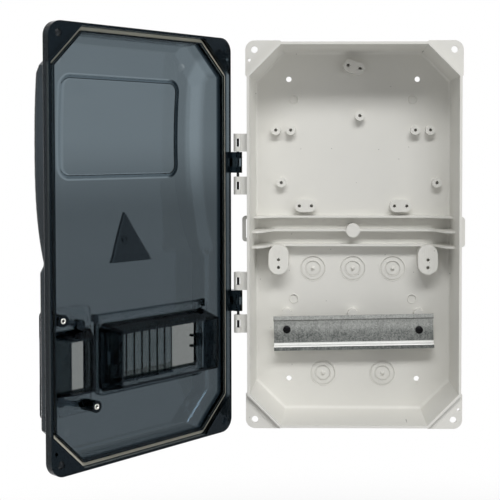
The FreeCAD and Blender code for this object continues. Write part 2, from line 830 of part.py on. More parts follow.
def breaker_clip():
    # C-shaped clip on the panel whose two prongs reach over the open end of the window.
    back = panel_inside_y - cover_wall / 2
    front = panel_inside_y + clip_depth
    low = breaker_middle_z - clip_height / 2
    high = breaker_middle_z + clip_height / 2
    pieces = [slab(breaker_left_x - clip_body, breaker_left_x, back, front, low, high)]
    for z in (low, high - clip_prong):
        pieces.append(slab(breaker_left_x - bite, breaker_left_x + clip_reach, panel_inside_y, front,
                           z, z + clip_prong))
    return pieces


def breaker_hood():
    hood = hood_tube(breaker_window, breaker_foot, breaker_mouth, rim_y + hood_mouth_front, hood_wall)
    catch_x = breaker_right_x + (hood_foot_right + hood_mouth_right - hood_wall) / 2
    catch = slab(catch_x - catch_reach, catch_x, rim_y - catch_back, rim_y - catch_front,
                 breaker_middle_z - catch_height / 2, breaker_middle_z + catch_height / 2)
    guides = []
    for z in (breaker_top_z + strip_overlap + strip_clearance,
              breaker_bottom_z - strip_overlap - strip_clearance - strip_guide):
        guides.append(slab(strip_left_x, breaker_right_x, panel_inside_y - cover_wall / 2,
                           panel_inside_y + strip_guide_height, z, z + strip_guide))
    return [hood, catch] + breaker_clip() + guides


def small_hood():
    # Tapered tube round the small window and, above and below it, a lid post tied to a low boss.
    back = panel_inside_y - cover_wall / 2
    pieces = [hood_tube(small_window, small_foot, small_mouth, rim_y + small_hood_front, small_hood_wall)]
    for post, boss in zip(lid_posts, low_bosses):
        pieces.append(rod_y(*post, lid_post_diameter, back, post_top_y))
        pieces.append(rod_y(*boss, low_boss_diameter, back, panel_inside_y + low_boss_height))
        pieces.append(bar_y(post, boss, low_rib_width, back, panel_inside_y + low_rib_height))
    return pieces


def hinge_block(centre):
    # Cover knuckle between the two base lugs of one hinge, joined to the skirt by an arm.
    z_high = centre + hinge_span / 2 - hinge_lug_height - hinge_block_gap
    z_low = z_high - hinge_block_height
    knuckle = Part.makeCylinder(hinge_knuckle_radius, hinge_block_height, V(hinge_x, hinge_y, z_low))
    r = hinge_knuckle_radius
    edge = -outline_half_width
    skirt_tip = rim_y + skirt_front
    points = [(hinge_x - r, hinge_y, z_low), (hinge_x - r, skirt_tip - r, z_low)]
    points += [(edge - r, rim_y - flange_back, z_low), (edge + bite, rim_y - flange_back, z_low)]
    points += [(edge + bite, skirt_tip, z_low), (hinge_x + r, skirt_tip, z_low)]
    points += [(hinge_x + r, hinge_y, z_low)]
    arm = polygon_face(points).extrude(V(0, 0, hinge_block_height))
    return joined(knuckle, [arm]).cut(knuckle_cuts(z_low, hinge_block_height))


def flap_ears():
    # Two ears on the outside of the panel that hold the trunnions of the flap.
    ears = []
    for x_low in (flap_left_x - flap_ear_gap - flap_ear_width, flap_right_x + flap_ear_gap):
        centre = V(x_low, flap_axis_y, flap_axis_z)
        ear = Part.makeCylinder(flap_ear_radius, flap_ear_width, centre, X_AXIS)
        foot = slab(x_low, x_low + flap_ear_width, flap_axis_y, panel_outside_y + cover_wall / 2,
                    flap_axis_z - flap_ear_radius, flap_axis_z + flap_ear_radius)
        bore = Part.makeCylinder(flap_trunnion / 2 + flap_trunnion_fit, flap_ear_width, centre, X_AXIS)
        ears.append(joined(ear, [foot]).cut(bore))
    return ears


def make_cover():
    flange = rounded_slab(-outline_half_width, outline_half_width,
                          -outline_half_height, outline_half_height, cover_corner_radius,
                          rim_y - flange_back, rim_y + skirt_front)
    flange = rounded_at(flange, rim_y - flange_back, flange_radius)
    channel = octagon_prism(skirt_clearance, rim_y - channel_floor, rim_y + skirt_front)
    inner_rib = octagon_prism(channel_rib_outer, rim_y - flange_back, rim_y + channel_rib_front)
    body = flange.fuse(bulged_form(0)).cut(channel).fuse(inner_rib)
    opening = octagon_prism(dome_opening, rim_y, rim_y + channel_rib_front)
    body = body.cut([opening, bulged_form(cover_wall)])
    body = joined(body, [triangle_form(), gate_mark()] + breaker_hood() + small_hood() + flap_ears())
    body = joined(body, [hinge_block(hinge_upper_z), hinge_block(hinge_lower_z)])
    cuts = corner_holes() + ejector_marks()
    cuts.append(slab(breaker_left_x, breaker_right_x, rim_y - far, panel_inside_y,
                     breaker_bottom_z, breaker_top_z))
    cuts.append(slab(small_left_x, small_right_x, rim_y - far, panel_inside_y, small_bottom_z, small_top_z))
    for x, z in lid_posts:
        cuts.append(rod_y(x, z, lid_screw_shank + 2 * lid_screw_clearance, rim_y - far, rim_y))
        cuts.append(rod_y(x, z, insert_diameter + 2 * insert_fit, post_top_y - insert_length, post_top_y))
    return body.cut(cuts)


def make_gasket():
    outer = skirt_clearance - gasket_side_gap
    inner = channel_rib_outer + gasket_side_gap
    back = rim_y - channel_floor + gasket_seat_gap
    front = rim_y - gasket_setback
    return octagon_prism(outer, back, front).cut(octagon_prism(inner, back - bite, front + bite))


def make_strips():
    # Snap-off strips joined by a bar at the top and at the bottom.
    low = breaker_bottom_z - strip_overlap
    high = breaker_top_z + strip_overlap
    back = panel_inside_y + strip_seat_gap
    front = back + strip_thickness
    plate = slab(strip_left_x, breaker_right_x, back, front, low, high)
    gaps = []
    for i in range(1, strip_count):
        x = strip_left_x + i * strip_pitch
        gaps.append(slab(x - strip_gap / 2, x + strip_gap / 2, back - bite, front + bite,
                         low + strip_bar, high - strip_bar))
    return plate.cut(gaps)


def make_lid():
    # Shallow cap over the small window, held by two screws.
    (upper_x, upper_z), (lower_x, lower_z) = lid_posts
    x_low = min(lower_x, small_left_x) - lid_border
    x_high = max(upper_x, small_right_x) + lid_border
    outside = lid_seat_y - lid_thickness
    lid = rounded_slab(x_low, x_high, lower_z - lid_border, upper_z + lid_border, lid_radius,
                       outside, lid_seat_y)
    border = lid_hollow_border
    hollow = slab(small_left_x - border, small_right_x + border, outside + lid_skin, lid_seat_y + bite,
                  small_bottom_z - border, small_top_z + border)
    bore = lid_screw_shank + 2 * lid_screw_clearance
    holes = [rod_y(x, z, bore, rim_y - far, rim_y) for x, z in lid_posts]
    return lid.cut([hollow] + holes)


def make_insert(place):
    x, z = place
    ring = rod_y(x, z, insert_diameter, post_top_y - insert_length, post_top_y)
    return ring.cut(rod_y(x, z, insert_bore, post_top_y - insert_length - bite, post_top_y + bite))


def make_lid_screw(place):
    x, z = place
    seat = lid_seat_y - lid_thickness
    length = post_top_y - insert_length + lid_screw_engagement - seat
    return pan_screw(x, z, seat, lid_screw_head, lid_screw_head_height, lid_screw_shank, length)


def make_flap():
    # Shallow cap whose top edge is a barrel with a trunnion at each end.
    back = panel_outside_y - flap_gap
    front = panel_outside_y - flap_depth
    width = flap_right_x - flap_left_x
    skin = rounded_slab(flap_left_x, flap_right_x, flap_bottom_z, flap_axis_z + flap_radius, flap_radius,
                        front, back)
    trim = slab(flap_left_x - bite, flap_right_x + bite, front - bite, back + bite,
                flap_axis_z, flap_axis_z + far)
    hollow = rounded_slab(flap_left_x + flap_skin, flap_right_x - flap_skin, flap_bottom_z + flap_skin,
                          flap_axis_z - flap_barrel_radius - flap_skin, flap_radius - flap_skin,
                          front + flap_skin, back + bite)
    barrel = Part.makeCylinder(flap_barrel_radius, width, V(flap_left_x, flap_axis_y, flap_axis_z), X_AXIS)
    end = flap_ear_gap + flap_ear_width
    trunnion = Part.makeCylinder(flap_trunnion / 2, width + 2 * end,
                                 V(flap_left_x - end, flap_axis_y, flap_axis_z), X_AXIS)
    middle = (flap_left_x + flap_right_x) / 2
    grip_low = flap_bottom_z + flap_radius
    grip = slab(middle - flap_grip_width / 2, middle + flap_grip_width / 2,
                front - flap_grip_reach, front + bite, grip_low, grip_low + flap_grip_thickness)
    return joined(skin.cut([trim, hollow]), [barrel, trunnion, grip])


def make_pin(centre):
    length = hinge_span - 2 * pin_end_gap
    return Part.makeCylinder(pin_diameter / 2, length, V(hinge_x, hinge_y, centre - length / 2))


def make_rail_screw(side):
    return pan_screw(side * rail_screw_x, rail_screw_z, rail_back_y - rail_sheet, rail_screw_head,
                     rail_screw_head_height, rail_screw_shank, rail_screw_length)


def swing_open(shape):
    shape.rotate(V(hinge_x, hinge_y, 0), Z_AXIS, -open_angle)
    return shape


def main():
    fixed_pieces = {
        "base_tray": make_base(),
        "din_rail": make_rail(),
        "hinge_pin_upper": make_pin(hinge_upper_z),
        "hinge_pin_lower": make_pin(hinge_lower_z),
        "rail_screw_left": make_rail_screw(-1),
        "rail_screw_right": make_rail_screw(1),
    }
    cover_pieces = {
        "cover_shell": make_cover(),
        "cover_gasket": make_gasket(),
        "blanking_strip": make_strips(),
        "small_window_lid": make_lid(),
        "breaker_flap": make_flap(),
        "lid_insert_upper": make_insert(lid_posts[0]),
        "lid_insert_lower": make_insert(lid_posts[1]),
        "lid_screw_upper": make_lid_screw(lid_posts[0]),
        "lid_screw_lower": make_lid_screw(lid_posts[1]),
    }
    pieces = dict(fixed_pieces)
    for name, shape in cover_pieces.items():
        pieces[name] = swing_open(shape)
    os.makedirs("parts", exist_ok=True)
    for name, shape in pieces.items():
        Part.makeCompound(shape.Solids).exportStep("parts/" + name + ".step")
        print(name, len(shape.Solids), shape.isValid(), round(shape.Volume))


main()
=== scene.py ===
import json
import math

import bmesh
import bpy
import numpy as np
from bpy.props import FloatProperty, FloatVectorProperty, IntProperty, PointerProperty
from mathutils import Matrix, Vector


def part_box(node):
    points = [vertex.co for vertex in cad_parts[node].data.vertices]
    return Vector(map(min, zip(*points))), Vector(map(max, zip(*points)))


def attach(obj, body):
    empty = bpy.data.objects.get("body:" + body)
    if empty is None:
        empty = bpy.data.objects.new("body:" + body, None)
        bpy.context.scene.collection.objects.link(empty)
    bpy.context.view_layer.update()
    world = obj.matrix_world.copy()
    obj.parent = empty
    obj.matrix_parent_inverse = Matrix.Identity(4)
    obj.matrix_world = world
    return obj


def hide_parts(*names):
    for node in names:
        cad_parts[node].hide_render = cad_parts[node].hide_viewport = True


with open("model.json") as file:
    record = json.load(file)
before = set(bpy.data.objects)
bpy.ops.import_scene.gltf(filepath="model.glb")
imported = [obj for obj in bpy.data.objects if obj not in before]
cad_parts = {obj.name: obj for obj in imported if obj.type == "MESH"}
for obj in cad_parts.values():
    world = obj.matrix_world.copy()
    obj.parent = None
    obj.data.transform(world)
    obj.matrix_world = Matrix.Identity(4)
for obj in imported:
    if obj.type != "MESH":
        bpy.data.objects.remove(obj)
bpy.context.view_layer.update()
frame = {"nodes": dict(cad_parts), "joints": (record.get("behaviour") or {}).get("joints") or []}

bl_info = {
    "name": "Electricity Meter Box",
    "version": (1, 0, 0),
    "blender": (4, 5, 0),
    "location": "View3D > Sidebar > Meter Box",
    "description": "Finishes the packed meter box: moulded tray, smoke cover, gasket, rail and fixings",
    "category": "Object",
}

# The cover is drawn shut, with its face across Y, and then swung open about its hinge.
cover_hinge = next(joint for joint in frame["joints"] if joint["name"] == "cover_hinge")
hinge_point = Vector(cover_hinge["pos_m"])
open_angle = math.radians(cover_hinge["range_deg"][1])
swing_open = (
    Matrix.Translation(hinge_point)
    @ Matrix.Rotation(-open_angle, 4, Vector(cover_hinge["axis"]))
    @ Matrix.Translation(-hinge_point)
)
swing_shut = swing_open.inverted()

# The tray, in metres from the middle of its back: the face of its floor, the tall pads' faces and ribs, and the
# middles of its recesses and knockouts as X and Z.
floor_face = -0.003
pad_face = -0.023
pad_side = 0.0753
pad_rib_foot = -0.0243
recess_spots = ((-0.0605, 0.1345), (0.0605, 0.1345), (-0.0605, -0.0694), (0.0605, -0.0694))
knockout_spots = ((-0.0408, -0.0382), (0.0, -0.0382), (0.0408, -0.0382), (-0.0305, -0.1461), (0.0305, -0.1461))

# The rail: its tilt, the levels of its lower fold, which takes a painted highlight, and its upper crease, which
# takes a painted shade line, and the band where the painted shade of its darker lower half starts.
rail_tilt = math.radians(1.2)
rail_fold = (-0.0138, -0.0105)
rail_crease = (0.01235, 0.01345)
rail_shade_band = (-0.004, 0.009)

# Places with the cover shut: the plane of the tray's rim, the cover's wall, the inside of its lower panel, the
# bevel beside the hinges, which is painted lighter, the heights over which the tint is painted lighter towards the
# top, and the depth of the flange, which is painted near-black as shade.
rim_plane = -0.065
cover_wall = 0.0025
panel_inside = -0.085
hinge_bevel = (-0.0965, -0.083)
painted_light_heights = (0.02, 0.1)
flange_depth = (-0.072, -0.0656)

# The hoods and what closes their windows, with the cover shut. Four values are left, right, bottom and top.
hood_spread = (-0.0965, 0.092, -0.141, -0.066)
hood_roof = -0.0792
hood_gap = (0.0370, 0.0475)
small_pane = (0.045, 0.0835, -0.130, -0.079)
breaker_pane = (-0.090, 0.025, -0.128, -0.0785)
lid_zone = (0.041, 0.100, -0.152, -0.049)
flap_inside = (-0.0915, 0.0345, -0.1355, -0.065)
strip_pitch = 0.00935

# The meter window with the cover shut: its outline, its corner radius, the CAD step's rise and rounding, the share
# of that rise which is turned inwards, how near counts as on the outline, where the dome starts, and the bands
# round the outline that take a painted highlight on the step and a near-black painted shade on the far wall.
window_outline = (-0.0705, 0.069, 0.058, 0.149)
window_corner = 0.011
window_raise = 0.004
window_round = 0.0019
turned_share = 0.55
outline_slack = 0.0001
dome_start = rim_plane - 0.02
step_band = (-0.0036, 0.0018)
far_band = (-0.0012, 0.0017)
far_reach = (0.004, 0.014)

# The triangle on the cover: middle, foot, height and half of its base.
triangle_middle = -0.003
triangle_foot = -0.0187
triangle_height = 0.0445
triangle_half = 0.0235

# The studio: the floor's level, its reach, where it fades out and the share of it that glows, the light from all
# sides, and the camera.
floor_level = -0.75
floor_reach = 9.0
floor_fade = (1.1, 1.9)
floor_glow = 0.6
ambient_light = 0.17
camera_place = (-0.0263, -1.11345, 0.08401)
camera_turn = (math.radians(88.104), 0.0, math.radians(0.903))
camera_lens = 78.16
camera_sensor = 36.0
camera_shift = (-0.12, -0.13)

# The quarter turn that stands what is drawn across Z up against the wall, with its Z towards the viewer.
stood_up = Matrix.Rotation(math.radians(90), 4, "X")


def shut_corners(node):
    """The places of a cover node's corners with the cover shut."""
    return [swing_shut @ vertex.co for vertex in frame["nodes"][node].data.vertices]


def shut_box(node):
    """Lowest and highest corner of a cover node with the cover shut."""
    corners = shut_corners(node)
    lowest = Vector(min(corner[axis] for corner in corners) for axis in range(3))
    highest = Vector(max(corner[axis] for corner in corners) for axis in range(3))
    return lowest, highest


class Reading:
    """One output of a node. Arithmetic on it adds Math nodes to the same tree."""

    def __init__(self, bench, socket):
        self.bench = bench
        self.socket = socket

    def maths(self, operation, *values):
        return self.bench.node("ShaderNodeMath", {"operation": operation}, dict(enumerate(values)))

    def __add__(self, other):
        return self.maths("ADD", self, other)

    def __radd__(self, other):
        return self.maths("ADD", other, self)

    def __sub__(self, other):
        return self.maths("SUBTRACT", self, other)

    def __rsub__(self, other):
        return self.maths("SUBTRACT", other, self)

    def __mul__(self, other):
        return self.maths("MULTIPLY", self, other)

    def __rmul__(self, other):
        return self.maths("MULTIPLY", other, self)

    def __gt__(self, other):
        return self.maths("GREATER_THAN", self, other)

    def __lt__(self, other):
        return self.maths("LESS_THAN", self, other)


class Bench:
    """A node tree being put together."""

    def __init__(self, tree):
        self.tree = tree

    def node(self, kind, settings=None, sockets=None, output=0):
        made = self.tree.nodes.new(kind)
        for name, value in (settings or {}).items():
            setattr(made, name, value)
        for name, value in (sockets or {}).items():
            if isinstance(value, Reading):
                self.tree.links.new(value.socket, made.inputs[name])
            else:
                made.inputs[name].default_value = value
        return Reading(self, made.outputs[output]) if len(made.outputs) else made


class Finish(Bench):
    """A material with the patterns that its surfaces share."""

    def __init__(self, name):
        self.material = bpy.data.materials.new(name)
        self.material.use_nodes = True
        super().__init__(self.material.node_tree)
        self.tree.nodes.clear()
        self.place = self.node("ShaderNodeTexCoord", output="Object")

    def stretched(self, scale):
        return self.node(
            "ShaderNodeMapping", {"vector_type": "POINT"}, {"Vector": self.place, "Scale": scale}
        )

    def noise(self, scale, detail=2.0, place=None):
        sockets = {"Vector": place or self.place, "Scale": scale, "Detail": detail}
        return self.node("ShaderNodeTexNoise", {"noise_dimensions": "3D"}, sockets)

    def cells(self, scale, place=None, output="Distance"):
        sockets = {"Vector": place or self.place, "Scale": scale}
        return self.node("ShaderNodeTexVoronoi", {"feature": "F1"}, sockets, output)

    def ramp(self, value, low, high):
        sockets = {"Value": value, "From Min": low, "From Max": high}
        return self.node("ShaderNodeMapRange", {"interpolation_type": "SMOOTHSTEP"}, sockets)

    def between(self, value, low, high, soft):
        return self.ramp(value, low - soft, low + soft) * (1.0 - self.ramp(value, high - soft, high + soft))

    def blend(self, mask, first, second):
        sockets = {0: mask, 6: first, 7: second}
        return self.node("ShaderNodeMix", {"data_type": "RGBA"}, sockets, output=2)

    def bump(self, height, strength, distance, normal=None):
        sockets = {"Height": height, "Strength": strength, "Distance": distance}
        if normal:
            sockets["Normal"] = normal
        return self.node("ShaderNodeBump", None, sockets)

    def done(self, sockets, volume=None):
        surface = self.node("ShaderNodeBsdfPrincipled", None, sockets)
        ends = {"Surface": surface}
        if volume:
            ends["Volume"] = volume
        self.node("ShaderNodeOutputMaterial", None, ends)
        return self.material


def shade(colour, share=1.0):
    """A colour socket's value, darkened or lightened by a share."""
    return (colour[0] * share, colour[1] * share, colour[2] * share, 1.0)


def pale_plastic(looks):
    """Satin warm grey moulding with faint flow marks and softened edges."""
    finish = Finish("pale_plastic")
    flow = finish.noise(9.0, 3.0)
    grain = finish.noise(1500.0, 2.0)
    face_on = finish.node(
        "ShaderNodeMapping", {"vector_type": "POINT"},
        {"Vector": finish.place, "Rotation": (math.radians(90.0), 0.0, 0.0)},
    )
    speck = finish.node(
        "ShaderNodeTexVoronoi", {"feature": "F1", "voronoi_dimensions": "2D"},
        {"Vector": face_on, "Scale": 26.0}, "Distance",
    )
    clean = finish.blend(flow, shade(looks.tray_colour, 0.96), shade(looks.tray_colour, 1.03))
    soft_edge = finish.node("ShaderNodeBevel", {"samples": 6}, {"Radius": looks.tray_edge})
    return finish.done({
        "Base Color": finish.blend((speck < 0.011) * (flow > 0.5), clean, shade(looks.tray_colour, 0.45)),
        "Roughness": 0.4 + 0.12 * flow,
        "Normal": finish.bump(grain, 0.12, 0.00004, soft_edge),
        "Specular IOR Level": 0.35,
    })


class Smoke(Finish):
    """Clear smoke-tinted plastic, read at the places its pieces have with the cover shut."""

    def along(self, axis):
        """How far a place lies along an axis with the cover shut."""
        direction = swing_open.to_3x3() @ Vector(axis)
        reach = self.node(
            "ShaderNodeVectorMath", {"operation": "DOT_PRODUCT"}, {0: self.place, 1: direction}, "Value"
        )
        return reach - direction.dot(swing_open.translation)

    def within(self, pane, soft):
        """1 inside a pane given as left, right, bottom and top."""
        left, right, bottom, top = pane
        across = self.between(self.along((1.0, 0.0, 0.0)), left, right, soft)
        return across * self.between(self.along((0.0, 0.0, 1.0)), bottom, top, soft)

    def from_outline(self, outline, corner):
        """Distance outwards from a rounded outline, below 0 inside it."""
        left, right, bottom, top = outline
        across = self.along((1.0, 0.0, 0.0)) - (left + right) / 2
        up = self.along((0.0, 0.0, 1.0)) - (bottom + top) / 2
        side = across.maths("ABSOLUTE", across) - ((right - left) / 2 - corner)
        end = up.maths("ABSOLUTE", up) - ((top - bottom) / 2 - corner)
        past_side = side.maths("MAXIMUM", side, 0.0)
        past_end = end.maths("MAXIMUM", end, 0.0)
        rounded = side.maths("SQRT", past_side * past_side + past_end * past_end)
        return rounded + side.maths("MINIMUM", side.maths("MAXIMUM", side, end), 0.0) - corner

    def moulded(self, tint, looks, density):
        """The polished material with its faces tinted and its inside taking light."""
        volume = self.node(
            "ShaderNodeVolumeAbsorption", None, {"Color": shade(looks.smoke_colour), "Density": density}
        )
        return self.done({
            "Base Color": tint,
            "Roughness": 0.004 + 0.012 * self.noise(16.0, 2.0),
            "Transmission Weight": 1.0,
            "IOR": looks.smoke_bending,
            "Specular Tint": shade(looks.smoke_gloss),
        }, volume)


def smoke_cover(looks):
    """Smoke plastic of the cover. Painted light makes it lighter high up and on the hinge bevel, and it is lighter
    in the window; a painted highlight lies on the window's step, and painted shade turns the hood roofs, the
    window's far wall and the flange near-black; the triangle is dark.
    """
    finish = Smoke("smoke_cover")
    across = finish.along((1.0, 0.0, 0.0))
    height = finish.along((0.0, 0.0, 1.0))
    depth = finish.along((0.0, 1.0, 0.0))
    swirl = finish.noise(16.0, 2.0)
    window = finish.from_outline(window_outline, window_corner)
    bevel = finish.between(across, *hinge_bevel, soft=0.002)
    # Painted light: the tint is painted from darker low to lighter high, and lighter on the hinge bevel; it is also
    # lighter in the window.
    rise = finish.ramp(height, *painted_light_heights) * (0.57 + 0.11 * (window < 0.0) + 0.43 * bevel)
    panel = finish.blend(rise + 0.06 * (swirl - 0.5), shade(looks.shaded_low_tint), shade(looks.lit_high_tint))
    # Painted highlight: a lighter band on the window's step, except on its far side.
    step = finish.between(window, *step_band, soft=0.0006)
    far_side = 1.0 - finish.ramp(across - window_outline[0], *far_reach)
    stepped = finish.blend(step * (1.0 - far_side), panel, shade(looks.step_highlight_tint))
    # Painted shade: a near-black band along the window's far wall.
    far_wall_shade = finish.between(window, *far_band, soft=0.0003) * far_side
    walled = finish.blend(far_wall_shade, stepped, shade(looks.rim_shade_and_joint_tint))
    lean = triangle_half / triangle_height
    reach = across.maths("ABSOLUTE", across - triangle_middle) + lean * (height - triangle_foot)
    triangle = (1.0 - finish.ramp(reach, triangle_half - 0.0004, triangle_half)) * (height > triangle_foot)
    marked = finish.blend(triangle, walled, shade(looks.shaded_low_tint, 0.42))
    hood_zone = finish.within(hood_spread, soft=0.001)
    hoods = finish.ramp(depth, panel_inside, panel_inside + 0.001) * hood_zone
    # Painted shade: near-black on the hood roofs and in the gap between the two hoods.
    roof = finish.ramp(height, hood_roof - 0.0006, hood_roof + 0.0006)
    gap = finish.between(across, *hood_gap, soft=0.0006)
    walls = finish.blend(roof.maths("MAXIMUM", roof, gap), shade(looks.hood_tint), shade(looks.rim_shade_and_joint_tint))
    hooded = finish.blend(hoods, marked, walls)
    # Painted shade: the flange is tinted near-black outside the hoods.
    flange = finish.between(depth, *flange_depth, soft=0.0006)
    tint = finish.blend(flange * (1.0 - hood_zone), hooded, shade(looks.rim_shade_and_joint_tint))
    return finish.moulded(tint, looks, looks.smoke_density)


def smoke_panes(looks):
    """Nearly clear plastic of the lid and the flap, with painted shade as dark outlines round their edges, and
    tinted where they close the windows.
    """
    finish = Smoke("smoke_panes")
    pane = finish.within(small_pane, soft=0.0004) + finish.within(breaker_pane, soft=0.0004)
    cloud = finish.noise(24.0, 2.0)
    tinted = finish.blend(cloud, shade(looks.pane_tint, 0.96), shade(looks.pane_tint, 1.04))
    # Painted shade: outside these inner zones the lid and the flap take the hood tint, as dark outlines.
    inside = finish.within(lid_zone, soft=0.0003) + finish.within(flap_inside, soft=0.0003)
    border = finish.blend(inside, shade(looks.hood_tint), shade(looks.clear_tint))
    return finish.moulded(finish.blend(pane, border, tinted), looks, looks.pane_density)


def smoke_strips(looks):
    """Smoke plastic of the blanking strips, dark along the snap-off lines between them."""
    finish = Smoke("smoke_strips")
    flow = finish.noise(60.0, 3.0)
    tint = finish.blend(flow, shade(looks.strip_tint, 0.92), shade(looks.strip_tint, 1.08))
    across = finish.along((1.0, 0.0, 0.0))
    share = across.maths("FRACT", (across - breaker_pane[1]) * (1.0 / strip_pitch))
    line = finish.ramp(across.maths("ABSOLUTE", share - 0.5), 0.38, 0.42)
    return finish.moulded(finish.blend(line, tint, shade(looks.rim_shade_and_joint_tint)), looks, looks.smoke_density)


def gasket_foam(looks):
    """Cream closed-cell foam with fine open pores."""
    finish = Finish("gasket_foam")
    pores = finish.cells(900.0)
    cloud = finish.noise(60.0, 3.0)
    return finish.done({
        "Base Color": finish.blend(cloud, shade(looks.gasket_colour, 0.88), shade(looks.gasket_colour, 1.06)),
        "Roughness": 0.82 + 0.1 * cloud,
        "Normal": finish.bump(pores, 0.35, 0.0004),
    })


def zinc_sheet(looks):
    """Galvanised sheet: fine spangles, streaks and stains, painted shade on its lower half and lip, a painted shade
    line along the upper crease and a painted highlight along the lower fold.
    """
    finish = Finish("zinc_sheet")
    grain = finish.noise(1500.0, 2.0)
    spangle = finish.cells(800.0, output="Color")
    flake = finish.node("ShaderNodeSeparateColor", None, {"Color": spangle}, "Red")
    streak = finish.noise(90.0, 4.0, finish.stretched((7.0, 1.0, 1.0)))
    stain = finish.noise(45.0, 5.0)
    low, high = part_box("din_rail")
    middle = (low + high) / 2
    side = finish.node("ShaderNodeSeparateXYZ", None, {"Vector": finish.place}, "X")
    height = Reading(finish, side.socket.node.outputs["Z"])
    level = height - middle.z - (side - middle.x) * math.tan(rail_tilt)
    # Painted shade: the rail's lower half, below the shade band, and its lip, below the lower fold, are darkened.
    rise = finish.ramp(level, *rail_shade_band) - 0.3 * (level < rail_fold[0])
    mask = 0.3 * flake + 0.42 * grain + 0.4 * streak + 0.25 * stain + 0.38 * rise - 0.43
    sheet = finish.blend(mask, shade(looks.zinc_stain_and_shade_colour), shade(looks.zinc_colour))
    # Painted highlight: a near-white, less metallic band along the lower fold.
    fold = finish.between(level, *rail_fold, soft=0.0002)
    # Painted shade: a dark line along the upper crease.
    crease = finish.between(level, *rail_crease, soft=0.00025)
    lined = finish.blend(crease * 0.6, sheet, shade(looks.zinc_stain_and_shade_colour, 0.3))
    return finish.done({
        "Base Color": finish.blend(fold * (0.75 + 0.25 * grain), lined, shade(looks.fold_highlight_colour)),
        "Metallic": 0.9 - 0.75 * fold,
        "Roughness": 0.28 + 0.3 * stain,
        "Normal": finish.bump(flake + 0.5 * streak, 0.12, 0.0002),
    })


def turned_metal(name, colour, roughness):
    """Machined metal with fine tool marks and handling smudges."""
    finish = Finish(name)
    smudge = finish.noise(420.0, 3.0)
    marks = finish.noise(2600.0, 2.0)
    return finish.done({
        "Base Color": finish.blend(smudge, shade(colour, 0.82), shade(colour, 1.08)),
        "Metallic": 1.0,
        "Roughness": roughness + 0.16 * smudge,
        "Normal": finish.bump(marks, 0.1, 0.00005),
    })


def finish_node(node, material):
    """Gives a CAD node its material."""
    for slot in frame["nodes"][node].material_slots:
        slot.material = material


def tree_inputs(name, wanted):
    """A Geometry Nodes tree with named inputs, and the readings of those inputs."""
    tree = bpy.data.node_groups.new(name, "GeometryNodeTree")
    tree.interface.new_socket("Geometry", in_out="INPUT", socket_type="NodeSocketGeometry")
    for label, kind in wanted.items():
        tree.interface.new_socket(label, in_out="INPUT", socket_type=kind)
    tree.interface.new_socket("Geometry", in_out="OUTPUT", socket_type="NodeSocketGeometry")
    bench = Bench(tree)
    source = tree.nodes.new("NodeGroupInput")
    return bench, {socket.name: Reading(bench, socket) for socket in source.outputs if socket.name}


def tree_end(bench, geometry, material):
    """Ends a tree in plain geometry with its material on it."""
    solid = bench.node("GeometryNodeRealizeInstances", None, {"Geometry": geometry})
    smooth = bench.node("GeometryNodeSetShadeSmooth", None, {"Geometry": solid})
    dressed = bench.node("GeometryNodeSetMaterial", None, {"Geometry": smooth, "Material": material})
    bench.node("NodeGroupOutput", None, {"Geometry": dressed})
    return bench.tree


def circle(bench, points, radius):
    """A round outline in XY with as many points as given."""
    return bench.node(
        "GeometryNodeCurvePrimitiveCircle", {"mode": "RADIUS"}, {"Resolution": points, "Radius": radius}
    )


def rounded(bench, outline, radius):
    """An outline with its corners rounded."""
    return bench.node(
        "GeometryNodeFilletCurve", {"mode": "POLY"},
        {"Curve": outline, "Count": 5, "Radius": radius, "Limit Radius": True},
    )


def swept(bench, path, section, capped=True):
    """The body that a section makes along a path."""
    return bench.node(
        "GeometryNodeCurveToMesh", None, {"Curve": path, "Profile Curve": section, "Fill Caps": capped}
    )


def gasket_tree():
    """A cord with a rounded section, swept round the loop of edges it is given."""
    bench, given = tree_inputs("gasket_sweep", {
        "Width": "NodeSocketFloat",
        "Height": "NodeSocketFloat",
        "Edge Round": "NodeSocketFloat",
        "Corner Round": "NodeSocketFloat",
        "Material": "NodeSocketMaterial",
    })
    loop = bench.node("GeometryNodeMeshToCurve", None, {"Mesh": given["Geometry"]})
    upright = bench.node("GeometryNodeSetCurveNormal", {"mode": "Z_UP"}, {"Curve": loop})
    path = rounded(bench, upright, given["Corner Round"])
    block = bench.node(
        "GeometryNodeCurvePrimitiveQuadrilateral", {"mode": "RECTANGLE"},
        {"Width": given["Width"], "Height": given["Height"]},
    )
    section = rounded(bench, block, given["Edge Round"])
    return tree_end(bench, swept(bench, path, section, False), given["Material"])


def ridge_tree():
    """Straight knurl ridges set round a turned body that stands along Z."""
    bench, given = tree_inputs("knurl_ridges", {
        "Ridges": "NodeSocketInt",
        "Radius": "NodeSocketFloat",
        "Ridge Size": "NodeSocketFloat",
        "Length": "NodeSocketFloat",
        "Rise": "NodeSocketFloat",
        "Material": "NodeSocketMaterial",
    })
    ring = circle(bench, given["Ridges"], given["Radius"])
    spots = bench.node("GeometryNodeCurveToPoints", {"mode": "EVALUATED"}, {"Curve": ring})
    start = bench.node("ShaderNodeCombineXYZ", None, {"Z": given["Rise"]})
    stop = bench.node("ShaderNodeCombineXYZ", None, {"Z": given["Rise"] + given["Length"]})
    line = bench.node("GeometryNodeCurvePrimitiveLine", {"mode": "POINTS"}, {"Start": start, "End": stop})
    ridge = swept(bench, line, circle(bench, 4, given["Ridge Size"]))
    ridges = bench.node("GeometryNodeInstanceOnPoints", None, {"Points": spots, "Instance": ridge})
    joined = bench.node("GeometryNodeJoinGeometry", None, {"Geometry": given["Geometry"]})
    bench.tree.links.new(ridges.socket, joined.socket.node.inputs["Geometry"])
    return tree_end(bench, joined, given["Material"])


